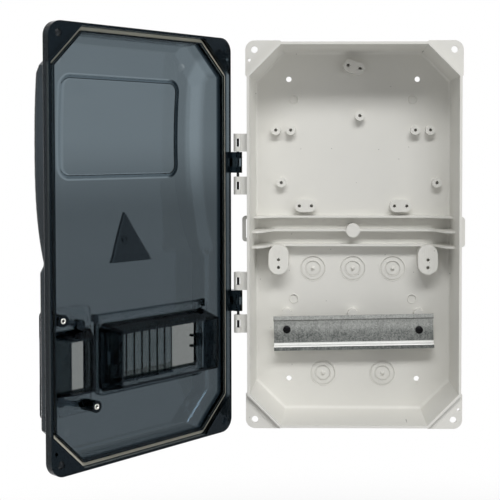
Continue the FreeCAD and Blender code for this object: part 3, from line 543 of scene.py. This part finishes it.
def thread_tree():
    """A screw thread wound up Z round a shank."""
    bench, given = tree_inputs("screw_thread", {
        "Radius": "NodeSocketFloat",
        "Pitch": "NodeSocketFloat",
        "Turns": "NodeSocketFloat",
        "Thread Size": "NodeSocketFloat",
        "Material": "NodeSocketMaterial",
    })
    helix = bench.node(
        "GeometryNodeCurveSpiral", None,
        {
            "Resolution": 20,
            "Rotations": given["Turns"],
            "Start Radius": given["Radius"],
            "End Radius": given["Radius"],
            "Height": given["Pitch"] * given["Turns"],
        },
    )
    thread = swept(bench, helix, circle(bench, 5, given["Thread Size"]))
    return tree_end(bench, thread, given["Material"])


def rib_tree():
    """A row of fine half-round ribs along X, each rib running along Z."""
    bench, given = tree_inputs("rib_row", {
        "Ribs": "NodeSocketInt",
        "Pitch": "NodeSocketFloat",
        "Rib Size": "NodeSocketFloat",
        "Length": "NodeSocketFloat",
        "Material": "NodeSocketMaterial",
    })
    step = bench.node("ShaderNodeCombineXYZ", None, {"X": given["Pitch"]})
    start = bench.node("ShaderNodeCombineXYZ", None, {"X": given["Pitch"] * (given["Ribs"] - 1.0) * -0.5})
    row = bench.node(
        "GeometryNodeMeshLine", {"mode": "OFFSET"},
        {"Count": given["Ribs"], "Start Location": start, "Offset": step},
    )
    tip = bench.node("ShaderNodeCombineXYZ", None, {"Z": given["Length"]})
    line = bench.node("GeometryNodeCurvePrimitiveLine", {"mode": "POINTS"}, {"End": tip})
    rib = swept(bench, line, circle(bench, 8, given["Rib Size"]))
    ribs = bench.node("GeometryNodeInstanceOnPoints", None, {"Points": row, "Instance": rib})
    return tree_end(bench, ribs, given["Material"])


def pip_tree():
    """A pointed gate pip on each corner of the mesh it is given, standing along Z."""
    bench, given = tree_inputs("gate_pips", {
        "Radius": "NodeSocketFloat",
        "Tip Radius": "NodeSocketFloat",
        "Height": "NodeSocketFloat",
        "Material": "NodeSocketMaterial",
    })
    pip = bench.node(
        "GeometryNodeMeshCone", {"fill_type": "NGON"},
        {
            "Vertices": 14, "Side Segments": 2, "Radius Top": given["Tip Radius"],
            "Radius Bottom": given["Radius"], "Depth": given["Height"],
        },
    )
    pips = bench.node("GeometryNodeInstanceOnPoints", None, {"Points": given["Geometry"], "Instance": pip})
    return tree_end(bench, pips, given["Material"])


def ring_tree():
    """A fine raised ring round each corner of the mesh it is given, lying across Z."""
    bench, given = tree_inputs("raised_rings", {
        "Radius": "NodeSocketFloat",
        "Bead": "NodeSocketFloat",
        "Material": "NodeSocketMaterial",
    })
    ring = swept(bench, circle(bench, 72, given["Radius"]), circle(bench, 8, given["Bead"]), False)
    rings = bench.node("GeometryNodeInstanceOnPoints", None, {"Points": given["Geometry"], "Instance": ring})
    return tree_end(bench, rings, given["Material"])


def spot_mesh(name, spots):
    """Loose corners in XY at the places given."""
    mesh = bpy.data.meshes.new(name)
    mesh.from_pydata([(x, y, 0.0) for x, y in spots], [], [])
    return mesh


def grown(name, start_mesh, tree, values):
    """The plain mesh that a Geometry Nodes tree makes from a starting mesh."""
    maker = bpy.data.objects.new(name, start_mesh)
    bpy.context.scene.collection.objects.link(maker)
    modifier = maker.modifiers.new("shape", "NODES")
    modifier.node_group = tree
    for socket in tree.interface.items_tree:
        if socket.in_out == "INPUT" and socket.name in values:
            modifier[socket.identifier] = values[socket.name]
    bpy.context.view_layer.update()
    graph = bpy.context.evaluated_depsgraph_get()
    mesh = bpy.data.meshes.new_from_object(maker.evaluated_get(graph), depsgraph=graph)
    maker.modifiers.remove(modifier)
    bpy.data.objects.remove(maker)
    if not mesh.polygons:
        raise RuntimeError(name + " came out empty")
    mesh.set_sharp_from_angle(angle=math.radians(38.0))
    return mesh


def fitted(name, mesh, place, body, slot, *nodes):
    """Puts a finished mesh in its place on a body, standing for the CAD nodes named."""
    mesh.transform(place)
    mesh.name = name
    piece = bpy.data.objects.new(name, mesh)
    bpy.context.scene.collection.objects.link(piece)
    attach(piece, body)
    if nodes:
        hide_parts(*nodes)
    return piece


def turned(name, outline, steps=48):
    """A closed body turned about Z from (radius, height) points that run up its outline."""
    shape = bmesh.new()
    rings = []
    for radius, height in outline:
        ring = []
        for step in range(steps):
            angle = 2 * math.pi * step / steps
            ring.append(shape.verts.new((radius * math.cos(angle), radius * math.sin(angle), height)))
        rings.append(ring)
    for lower, upper in zip(rings, rings[1:] + rings[:1]):
        for step in range(steps):
            beside = (step + 1) % steps
            shape.faces.new((lower[step], lower[beside], upper[beside], upper[step]))
    bmesh.ops.remove_doubles(shape, verts=shape.verts, dist=1e-7)
    bmesh.ops.recalc_face_normals(shape, faces=shape.faces)
    mesh = bpy.data.meshes.new(name)
    shape.to_mesh(mesh)
    shape.free()
    return mesh


def window_inset(place):
    """How far a place lies inside the window's outline, and the way straight out of it."""
    left, right, bottom, top = window_outline
    across = place.x - (left + right) / 2
    up = place.z - (bottom + top) / 2
    beyond_x = abs(across) - (right - left) / 2 + window_corner
    beyond_z = abs(up) - (top - bottom) / 2 + window_corner
    if beyond_x > 0 and beyond_z > 0:
        out = Vector((math.copysign(beyond_x, across), 0.0, math.copysign(beyond_z, up)))
        return window_corner - out.length, out.normalized()
    if beyond_x > beyond_z:
        return window_corner - beyond_x, Vector((math.copysign(1.0, across), 0.0, 0.0))
    return window_corner - beyond_z, Vector((0.0, 0.0, math.copysign(1.0, up)))


def turned_over(way, slope):
    """The normal of a surface whose rise above a sloping panel is turned over."""
    if abs(way.y) < 0.001:
        return Vector((-way.x, way.y, -way.z))
    across = turned_share * way.x / way.y
    up = (1.0 + turned_share) * slope + turned_share * way.z / way.y
    over = Vector((across, -1.0, up)).normalized()
    return over if way.y < 0 else -over


def window_turned_in(node):
    """A copy of the cover's mesh whose meter window steps inwards, with both outlines of the step exchanged."""
    mesh = frame["nodes"][node].data.copy()
    corners = shut_corners(node)
    ways = [swing_shut.to_3x3() @ corner.vector for corner in mesh.corner_normals]
    facing = {loop.vertex_index: way for loop, way in zip(mesh.loops, ways)}
    face = [
        corner for index, corner in enumerate(corners)
        if window_inset(corner)[0] > window_round - outline_slack
        and facing[index].y < -0.98 and corner.y < rim_plane
    ]
    panel = np.polynomial.Polynomial.fit([c.z for c in face], [c.y + window_raise for c in face], 5)
    slope = panel.deriv()
    moved = set()
    for index, corner in enumerate(corners):
        inset, out = window_inset(corner)
        if inset < -window_round - 2 * outline_slack or corner.y > dome_start:
            continue
        steps = (inset > cover_wall - window_round) + (inset > window_round + outline_slack / 2)
        level = panel(corner.z)
        inner = corner.y > level + cover_wall / 2 - window_raise * steps / 2
        lift = cover_wall if inner else 0.0
        rise = max(level + lift - corner.y, 0.0)
        place = corner.copy()
        if inset < 2 * window_raise:
            place += out * (cover_wall if inner else -cover_wall)
        place.y = panel(place.z) + lift + rise * turned_share
        mesh.vertices[index].co = swing_open @ place
        moved.add(index)
    for spot, loop in enumerate(mesh.loops):
        if loop.vertex_index in moved:
            ways[spot] = turned_over(ways[spot], slope(corners[loop.vertex_index].z))
    mesh.normals_split_custom_set([swing_open.to_3x3() @ way for way in ways])
    return mesh


def octagon_loop(node):
    """The middle line of the gasket as a loop of edges in XY, with its width and height."""
    corners = shut_corners(node)
    lowest, highest = shut_box(node)
    middle = (lowest + highest) / 2
    half_width = (highest.x - lowest.x) / 2
    half_height = (highest.z - lowest.z) / 2
    reach = max(abs(corner.x - middle.x) + abs(corner.z - middle.z) for corner in corners)
    away = [abs(corner.x - middle.x) for corner in corners]
    band = half_width - min(side for side in away if side > half_width * 0.95)
    across = half_width - band / 2
    up = half_height - band / 2
    cut = across + up - (reach - band / math.sqrt(2))
    points = [
        (across, up - cut), (across - cut, up), (cut - across, up), (-across, up - cut),
        (-across, cut - up), (cut - across, -up), (across - cut, -up), (across, cut - up),
    ]
    mesh = bpy.data.meshes.new("gasket_loop")
    edges = [(spot, (spot + 1) % len(points)) for spot in range(len(points))]
    mesh.from_pydata([(x, y, 0.0) for x, y in points], edges, [])
    return mesh, middle, band, highest.y - lowest.y


def length_value(name, description, default):
    """A length that a user can set."""
    return FloatProperty(name=name, description=description, default=default, min=0.0, unit="LENGTH")


def count_value(name, description, default):
    """A number of like details that a user can set."""
    return IntProperty(name=name, description=description, default=default, min=2, max=80)


def colour_value(name, description, default):
    """A colour or a tint that a user can set."""
    return FloatVectorProperty(
        name=name, description=description, default=default, size=3, min=0.0, max=1.0, subtype="COLOR"
    )


class MeterBoxSizes(bpy.types.PropertyGroup):
    """Sizes of the details that are added to the CAD pieces."""

    gasket_round: length_value("Gasket Edge Round", "Rounding of the gasket's section", 0.0011)
    gasket_corner: length_value("Gasket Corner Round", "Bend radius of the gasket at the eight corners", 0.004)
    insert_ridges: count_value("Insert Ridges", "Knurl ridges round each threaded insert", 30)
    insert_bore: length_value("Insert Bore", "Diameter of the hole through each threaded insert", 0.0027)
    pin_ridges: count_value("Pin Ridges", "Knurl ridges at the driven end of each hinge pin", 18)
    thread_pitch: length_value("Thread Pitch", "Pitch of the lid screws", 0.0006)
    thread_length: length_value("Thread Length", "Length of the thread on each lid screw", 0.004)
    thread_radius: length_value("Thread Radius", "Radius of the middle of the thread on each lid screw", 0.00128)
    thread_size: length_value("Thread Size", "Half of the thread's own thickness", 0.0002)
    thread_start: length_value("Thread Start", "Distance from the tip of each lid screw to its thread", 0.0004)
    pin_knurl: length_value("Pin Knurl", "Length of the knurled part of each hinge pin", 0.006)
    pin_lead: length_value("Pin Lead", "Plain length between the knurl and the driven end of each hinge pin", 0.002)
    knockout_outer: length_value("Outer Ring", "Radius of the outer ring of each knockout", 0.01275)
    knockout_inner: length_value("Inner Ring", "Radius of the inner ring of each knockout", 0.008)
    recess_radius: length_value("Recess Ring", "Radius of the ring round each shallow recess", 0.0045)
    ring_bead: length_value("Ring Bead", "Radius of the bead that makes each raised ring", 0.00048)
    pip_radius: length_value("Pip Radius", "Radius at the foot of the gate pip in each knockout", 0.0025)
    pip_height: length_value("Pip Height", "Height of the gate pip in each knockout", 0.0033)
    pad_ribs: count_value("Pad Ribs", "Fine ribs on the face of each tall pad", 6)
    pad_rib_pitch: length_value("Pad Rib Pitch", "Distance between the fine ribs on the tall pads", 0.0019)
    pad_rib_length: length_value("Pad Rib Length", "Length of the fine ribs on the tall pads", 0.009)
    pad_rib_size: length_value("Pad Rib Size", "Radius of the fine ribs on the tall pads", 0.00018)


class MeterBoxLooks(bpy.types.PropertyGroup):
    """Colours and finish values of the box."""

    tray_colour: colour_value("Tray", "Colour of the tray's moulding", (0.76, 0.752, 0.712))
    tray_edge: length_value("Tray Edge Softness", "Radius that softens the tray's edges in the shading", 0.00012)
    smoke_colour: colour_value(
        "Smoke Tint", "Colour that light keeps inside the smoke plastic", (0.23, 0.31, 0.355))
    smoke_density: FloatProperty(
        name="Smoke Density", description="How fast the smoke plastic takes light, per metre",
        default=450.0, min=0.0)
    pane_density: FloatProperty(
        name="Pane Density", description="How fast the lid and the flap take light, per metre",
        default=40.0, min=0.0)
    smoke_bending: FloatProperty(
        name="Smoke Refraction", description="Refractive index of the smoke plastic",
        default=1.3, min=1.0, max=2.0)
    smoke_gloss: colour_value("Smoke Gloss", "Tint of the reflections on the smoke plastic", (0.32, 0.5, 0.66))
    clear_tint: colour_value(
        "Clear Tint", "Light that passes the borders of the lid and the flap", (0.97, 0.98, 0.98))
    # Painted light: the cover's tint is painted from the lower tint up to this lighter upper tint.
    lit_high_tint: colour_value(
        "Upper Tint", "Light that passes the faces of the cover's upper half", (0.435, 0.487, 0.515))
    shaded_low_tint: colour_value(
        "Lower Tint", "Light that passes the faces of the cover's lower half", (0.164, 0.185, 0.197))
    # Painted highlight on the step round the meter window.
    step_highlight_tint: colour_value(
        "Step Tint", "Light that passes the faces of the step round the meter window", (0.44, 0.49, 0.52))
    # Tint of the hood faces, and the painted shade of the dark outlines round the lid and the flap.
    hood_tint: colour_value("Hood Tint", "Light that passes the faces of the hoods", (0.19, 0.225, 0.245))
    # Near-black painted shade on the flange, the hood roofs and gap and the window's far wall; also the strips'
    # dark snap-off lines.
    rim_shade_and_joint_tint: colour_value("Rim Tint", "Light that passes the faces of the cover's thick rim", (0.02, 0.03, 0.038))
    pane_tint: colour_value(
        "Pane Tint", "Light that passes the lid and the flap over their windows", (0.195, 0.208, 0.206))
    strip_tint: colour_value("Strip Tint", "Light that passes the faces of the blanking strips", (0.5, 0.53, 0.53))
    gasket_colour: colour_value("Gasket", "Colour of the foam gasket", (0.5, 0.48, 0.4))
    zinc_colour: colour_value("Rail", "Colour of the bright zinc on the rail", (0.46, 0.47, 0.45))
    # Painted highlight along the rail's lower fold.
    fold_highlight_colour: colour_value(
        "Rail Fold", "Colour of the rubbed zinc along the rail's lower fold", (0.93, 0.93, 0.91))
    # Colour of the rail's dull stains and streaks, and of the painted shade on its lower half, lip and upper
    # crease.
    zinc_stain_and_shade_colour: colour_value("Rail Stain", "Colour of the dull zinc on the rail", (0.07, 0.077, 0.074))
    black_colour: colour_value("Screws", "Colour of the blackened screws", (0.012, 0.012, 0.013))
    pin_colour: colour_value("Hinge Pins", "Colour of the hinge pins' steel", (0.035, 0.035, 0.036))
    plated_colour: colour_value("Inserts", "Colour of the plated inserts", (0.78, 0.77, 0.73))
    backdrop_colour: colour_value("Floor", "Colour of the studio floor", (0.86, 0.86, 0.86))


class METERBOX_OT_tray(bpy.types.Operator):
    """Finish the moulded tray and add its pads' fine ribs, its knockouts' pips and its raised rings"""

    bl_idname = "meterbox.tray"
    bl_label = "Tray"

    def execute(self, context):
        sizes = context.scene.meter_box_sizes
        plastic = pale_plastic(context.scene.meter_box_looks)
        finish_node("base_tray", plastic)
        tree = rib_tree()
        for side, label in ((-1, "left"), (1, "right")):
            start = bpy.data.meshes.new("rib_start")
            mesh = grown("pad_ribs", start, tree, {
                "Ribs": sizes.pad_ribs, "Pitch": sizes.pad_rib_pitch, "Rib Size": sizes.pad_rib_size,
                "Length": sizes.pad_rib_length, "Material": plastic,
            })
            place = Matrix.Translation((side * pad_side, pad_face, pad_rib_foot))
            fitted("pad_ribs_" + label, mesh, place, "base", "pale_plastic")
        on_floor = Matrix.Translation((0.0, floor_face, 0.0)) @ stood_up
        pips = grown("gate_pips", spot_mesh("pip_spots", knockout_spots), pip_tree(), {
            "Radius": sizes.pip_radius, "Tip Radius": sizes.pip_radius * 0.12, "Height": sizes.pip_height,
            "Material": plastic,
        })
        fitted("gate_pips", pips, on_floor, "base", "pale_plastic")
        rings = ring_tree()
        for label, spots, radius in (
            ("knockout_rings_outer", knockout_spots, sizes.knockout_outer),
            ("knockout_rings_inner", knockout_spots, sizes.knockout_inner),
            ("recess_rings", recess_spots, sizes.recess_radius),
        ):
            beads = grown(label, spot_mesh("ring_spots", spots), rings, {
                "Radius": radius, "Bead": sizes.ring_bead, "Material": plastic,
            })
            fitted(label, beads, on_floor, "base", "pale_plastic")
        return {"FINISHED"}


class METERBOX_OT_rail(bpy.types.Operator):
    """Finish the galvanised mounting rail"""

    bl_idname = "meterbox.rail"
    bl_label = "Rail"

    def execute(self, context):
        finish_node("din_rail", zinc_sheet(context.scene.meter_box_looks))
        return {"FINISHED"}


class METERBOX_OT_screws(bpy.types.Operator):
    """Finish the blackened screws and wind the threads of the lid's screws"""

    bl_idname = "meterbox.screws"
    bl_label = "Screws"

    def execute(self, context):
        sizes = context.scene.meter_box_sizes
        black = turned_metal("blackened_steel", context.scene.meter_box_looks.black_colour, 0.42)
        finish_node("rail_screw_left", black)
        finish_node("rail_screw_right", black)
        tree = thread_tree()
        for label in ("upper", "lower"):
            finish_node("lid_screw_" + label, black)
            lowest, highest = shut_box("lid_screw_" + label)
            mesh = grown("lid_thread", bpy.data.meshes.new("thread_start"), tree, {
                "Radius": sizes.thread_radius, "Pitch": sizes.thread_pitch, "Thread Size": sizes.thread_size,
                "Turns": sizes.thread_length / sizes.thread_pitch, "Material": black,
            })
            middle = (lowest + highest) / 2
            place = Matrix.Translation((middle.x, highest.y - sizes.thread_start, middle.z)) @ stood_up
            fitted("lid_thread_" + label, mesh, swing_open @ place, "cover", "screw_steel")
        return {"FINISHED"}


class METERBOX_OT_hinge_pins(bpy.types.Operator):
    """Turn the two hinge pins with domed ends and a knurled driven end"""

    bl_idname = "meterbox.hinge_pins"
    bl_label = "Hinge Pins"

    def execute(self, context):
        sizes = context.scene.meter_box_sizes
        steel = turned_metal("pin_steel", context.scene.meter_box_looks.pin_colour, 0.36)
        tree = ridge_tree()
        for label in ("upper", "lower"):
            node = "hinge_pin_" + label
            lowest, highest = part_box(node)
            radius = (highest.x - lowest.x) / 2
            length = highest.z - lowest.z
            dome = radius * 0.3
            outline = [
                (0.0, 0.0), (radius * 0.6, dome * 0.2), (radius * 0.88, dome * 0.6), (radius, dome * 1.4),
                (radius, length - dome * 1.4), (radius * 0.88, length - dome * 0.6),
                (radius * 0.6, length - dome * 0.2), (0.0, length),
            ]
            mesh = grown("hinge_pin", turned("pin_body", outline, 32), tree, {
                "Ridges": sizes.pin_ridges, "Radius": radius * 0.95, "Ridge Size": radius * 0.05,
                "Length": sizes.pin_knurl, "Rise": length - sizes.pin_knurl - sizes.pin_lead, "Material": steel,
            })
            place = Matrix.Translation(((lowest.x + highest.x) / 2, (lowest.y + highest.y) / 2, lowest.z))
            fitted("knurled_pin_" + label, mesh, place, "base", "pin_steel", node)
        return {"FINISHED"}


class METERBOX_OT_cover(bpy.types.Operator):
    """Finish the smoke-tinted cover moulding, with its meter window stepped inwards"""

    bl_idname = "meterbox.cover"
    bl_label = "Cover"

    def execute(self, context):
        mesh = window_turned_in("cover_shell")
        mesh.materials.clear()
        mesh.materials.append(smoke_cover(context.scene.meter_box_looks))
        fitted("cover_moulding", mesh, Matrix.Identity(4), "cover", "smoke_plastic", "cover_shell")
        return {"FINISHED"}


class METERBOX_OT_gasket(bpy.types.Operator):
    """Sweep the foam gasket round its channel in the cover"""

    bl_idname = "meterbox.gasket"
    bl_label = "Gasket"

    def execute(self, context):
        sizes = context.scene.meter_box_sizes
        loop, middle, band, height = octagon_loop("cover_gasket")
        mesh = grown("gasket", loop, gasket_tree(), {
            "Width": band, "Height": height, "Edge Round": sizes.gasket_round,
            "Corner Round": sizes.gasket_corner, "Material": gasket_foam(context.scene.meter_box_looks),
        })
        place = swing_open @ Matrix.Translation(middle) @ stood_up
        fitted("gasket_cord", mesh, place, "cover", "gasket_rubber", "cover_gasket")
        return {"FINISHED"}


class METERBOX_OT_strips(bpy.types.Operator):
    """Finish the snap-out blanking strips"""

    bl_idname = "meterbox.strips"
    bl_label = "Blanking Strips"

    def execute(self, context):
        finish_node("blanking_strip", smoke_strips(context.scene.meter_box_looks))
        return {"FINISHED"}


class METERBOX_OT_windows(bpy.types.Operator):
    """Finish the lid of the small window and the flap over the breaker window"""

    bl_idname = "meterbox.windows"
    bl_label = "Lid and Flap"

    def execute(self, context):
        smoke = smoke_panes(context.scene.meter_box_looks)
        finish_node("small_window_lid", smoke)
        finish_node("breaker_flap", smoke)
        return {"FINISHED"}


class METERBOX_OT_inserts(bpy.types.Operator):
    """Turn the two knurled inserts that the lid screws go into"""

    bl_idname = "meterbox.inserts"
    bl_label = "Threaded Inserts"

    def execute(self, context):
        sizes = context.scene.meter_box_sizes
        plated = turned_metal("plated_brass", context.scene.meter_box_looks.plated_colour, 0.16)
        tree = ridge_tree()
        bore = sizes.insert_bore / 2
        for label in ("upper", "lower"):
            node = "lid_insert_" + label
            lowest, highest = shut_box(node)
            radius = (highest.x - lowest.x) / 2
            length = highest.y - lowest.y
            edge = radius * 0.1
            outline = [
                (bore + edge, 0.0), (radius - edge, 0.0), (radius, edge), (radius, length - edge),
                (radius - edge, length), (bore + edge, length), (bore, length - edge), (bore, edge),
            ]
            mesh = grown("insert", turned("insert_body", outline), tree, {
                "Ridges": sizes.insert_ridges, "Radius": radius * 0.965, "Ridge Size": radius * 0.045,
                "Length": length * 0.6, "Rise": length * 0.2, "Material": plated,
            })
            middle = (lowest + highest) / 2
            place = Matrix.Translation((middle.x, highest.y, middle.z)) @ stood_up
            fitted("knurled_insert_" + label, mesh, swing_open @ place, "cover", "insert_brass", node)
        return {"FINISHED"}


def floor_finish(looks):
    """Pale studio floor that keeps the shadow and fades into the white surroundings."""
    finish = Finish("studio_floor")
    cloud = finish.noise(1.5, 2.0)
    seen = seen_rays(finish)
    plain = finish.node("ShaderNodeBsdfDiffuse", None, {
        "Color": finish.blend(cloud, shade(looks.backdrop_colour, 0.99), shade(looks.backdrop_colour, 1.01)),
    })
    glow = finish.node("ShaderNodeEmission", None, {"Color": (1, 1, 1, 1), "Strength": 1.0})
    lit = finish.node("ShaderNodeMixShader", None, {0: seen * floor_glow, 1: plain, 2: glow})
    away = finish.node("ShaderNodeVectorMath", {"operation": "LENGTH"}, {0: finish.place}, "Value")
    clear = finish.node("ShaderNodeBsdfTransparent")
    faded = finish.node("ShaderNodeMixShader", None, {0: finish.ramp(away, *floor_fade), 1: lit, 2: clear})
    finish.node("ShaderNodeOutputMaterial", None, {"Surface": faded})
    return finish.material


def seen_rays(bench):
    """1 for what the camera sees directly, in a reflection or through the smoke plastic."""
    camera = bench.node("ShaderNodeLightPath", output="Is Camera Ray")
    glossy = Reading(bench, camera.socket.node.outputs["Is Glossy Ray"])
    through = Reading(bench, camera.socket.node.outputs["Is Transmission Ray"])
    return camera.maths("MAXIMUM", camera, camera.maths("MAXIMUM", glossy, through))


def studio_world():
    """White surroundings as seen, and a lower soft light on matt surfaces."""
    world = bpy.data.worlds.new("studio")
    world.use_nodes = True
    bench = Bench(world.node_tree)
    bench.tree.nodes.clear()
    seen = seen_rays(bench)
    strength = ambient_light + (1.0 - ambient_light) * seen
    white = bench.node("ShaderNodeBackground", None, {"Color": (1, 1, 1, 1), "Strength": strength})
    bench.node("ShaderNodeOutputWorld", None, {"Surface": white})
    return world


def soft_lamp(name, place, aim, width, height, power, mirrored=False):
    """A wide studio lamp pointed at a place, which is never seen through the smoke plastic."""
    lamp = bpy.data.lights.new(name, "AREA")
    lamp.shape = "RECTANGLE"
    lamp.size = width
    lamp.size_y = height
    lamp.energy = power
    holder = bpy.data.objects.new(name, lamp)
    bpy.context.scene.collection.objects.link(holder)
    holder.location = place
    holder.rotation_euler = (Vector(aim) - Vector(place)).to_track_quat("-Z", "Y").to_euler()
    holder.visible_transmission = False
    holder.visible_glossy = mirrored


class METERBOX_OT_stage(bpy.types.Operator):
    """Set the floor, the soft lamps, the white surroundings and the camera"""

    bl_idname = "meterbox.stage"
    bl_label = "Stage"

    def execute(self, context):
        scene = context.scene
        scene.view_settings.view_transform = "Standard"
        shape = bmesh.new()
        bmesh.ops.create_grid(shape, x_segments=8, y_segments=8, size=floor_reach)
        mesh = bpy.data.meshes.new("studio_floor")
        shape.to_mesh(mesh)
        shape.free()
        mesh.transform(Matrix.Translation((0.0, 0.0, floor_level)))
        mesh.materials.append(floor_finish(scene.meter_box_looks))
        floor = bpy.data.objects.new("studio_floor", mesh)
        scene.collection.objects.link(floor)
        scene.world = studio_world()
        middle = (0.0, 0.0, 0.0)
        soft_lamp("key_lamp", (0.4, -2.3, 2.2), middle, width=2.6, height=0.65, power=72.0, mirrored=True)
        soft_lamp("right_fill", (2.9, -1.5, 0.0), middle, width=1.6, height=1.6, power=20.0)
        soft_lamp("left_fill", (-2.6, -1.9, 0.0), (0.1, 0.0, 0.0), width=1.6, height=1.6, power=8.0)
        soft_lamp("back_fill", (-1.0, 2.4, 1.0), middle, width=1.6, height=1.6, power=24.0)
        lens = bpy.data.cameras.new("photo_camera")
        camera = bpy.data.objects.new("photo_camera", lens)
        scene.collection.objects.link(camera)
        camera.location = camera_place
        camera.rotation_euler = camera_turn
        lens.sensor_width = camera_sensor
        lens.lens = camera_lens
        lens.shift_x, lens.shift_y = camera_shift
        scene.camera = camera
        return {"FINISHED"}


class METERBOX_PT_panel(bpy.types.Panel):
    """Lists the pieces of the meter box and their sizes and colours"""

    bl_label = "Meter Box"
    bl_idname = "METERBOX_PT_panel"
    bl_space_type = "VIEW_3D"
    bl_region_type = "UI"
    bl_category = "Meter Box"

    def draw(self, context):
        for operator in operators:
            self.layout.operator(operator.bl_idname)
        for group in (context.scene.meter_box_sizes, context.scene.meter_box_looks):
            box = self.layout.box()
            for name in group.__annotations__:
                box.prop(group, name)


operators = (
    METERBOX_OT_tray,
    METERBOX_OT_rail,
    METERBOX_OT_screws,
    METERBOX_OT_hinge_pins,
    METERBOX_OT_cover,
    METERBOX_OT_gasket,
    METERBOX_OT_strips,
    METERBOX_OT_windows,
    METERBOX_OT_inserts,
    METERBOX_OT_stage,
)
classes = (MeterBoxSizes, MeterBoxLooks, *operators, METERBOX_PT_panel)


def register():
    for each in classes:
        bpy.utils.register_class(each)
    bpy.types.Scene.meter_box_sizes = PointerProperty(type=MeterBoxSizes)
    bpy.types.Scene.meter_box_looks = PointerProperty(type=MeterBoxLooks)


def unregister():
    del bpy.types.Scene.meter_box_looks
    del bpy.types.Scene.meter_box_sizes
    for each in reversed(classes):
        bpy.utils.unregister_class(each)


def main():
    register()
    bpy.ops.meterbox.tray()
    bpy.ops.meterbox.rail()
    bpy.ops.meterbox.screws()
    bpy.ops.meterbox.hinge_pins()
    bpy.ops.meterbox.cover()
    bpy.ops.meterbox.gasket()
    bpy.ops.meterbox.strips()
    bpy.ops.meterbox.windows()
    bpy.ops.meterbox.inserts()
    bpy.ops.meterbox.stage()


if __name__ == "__main__":
    main()
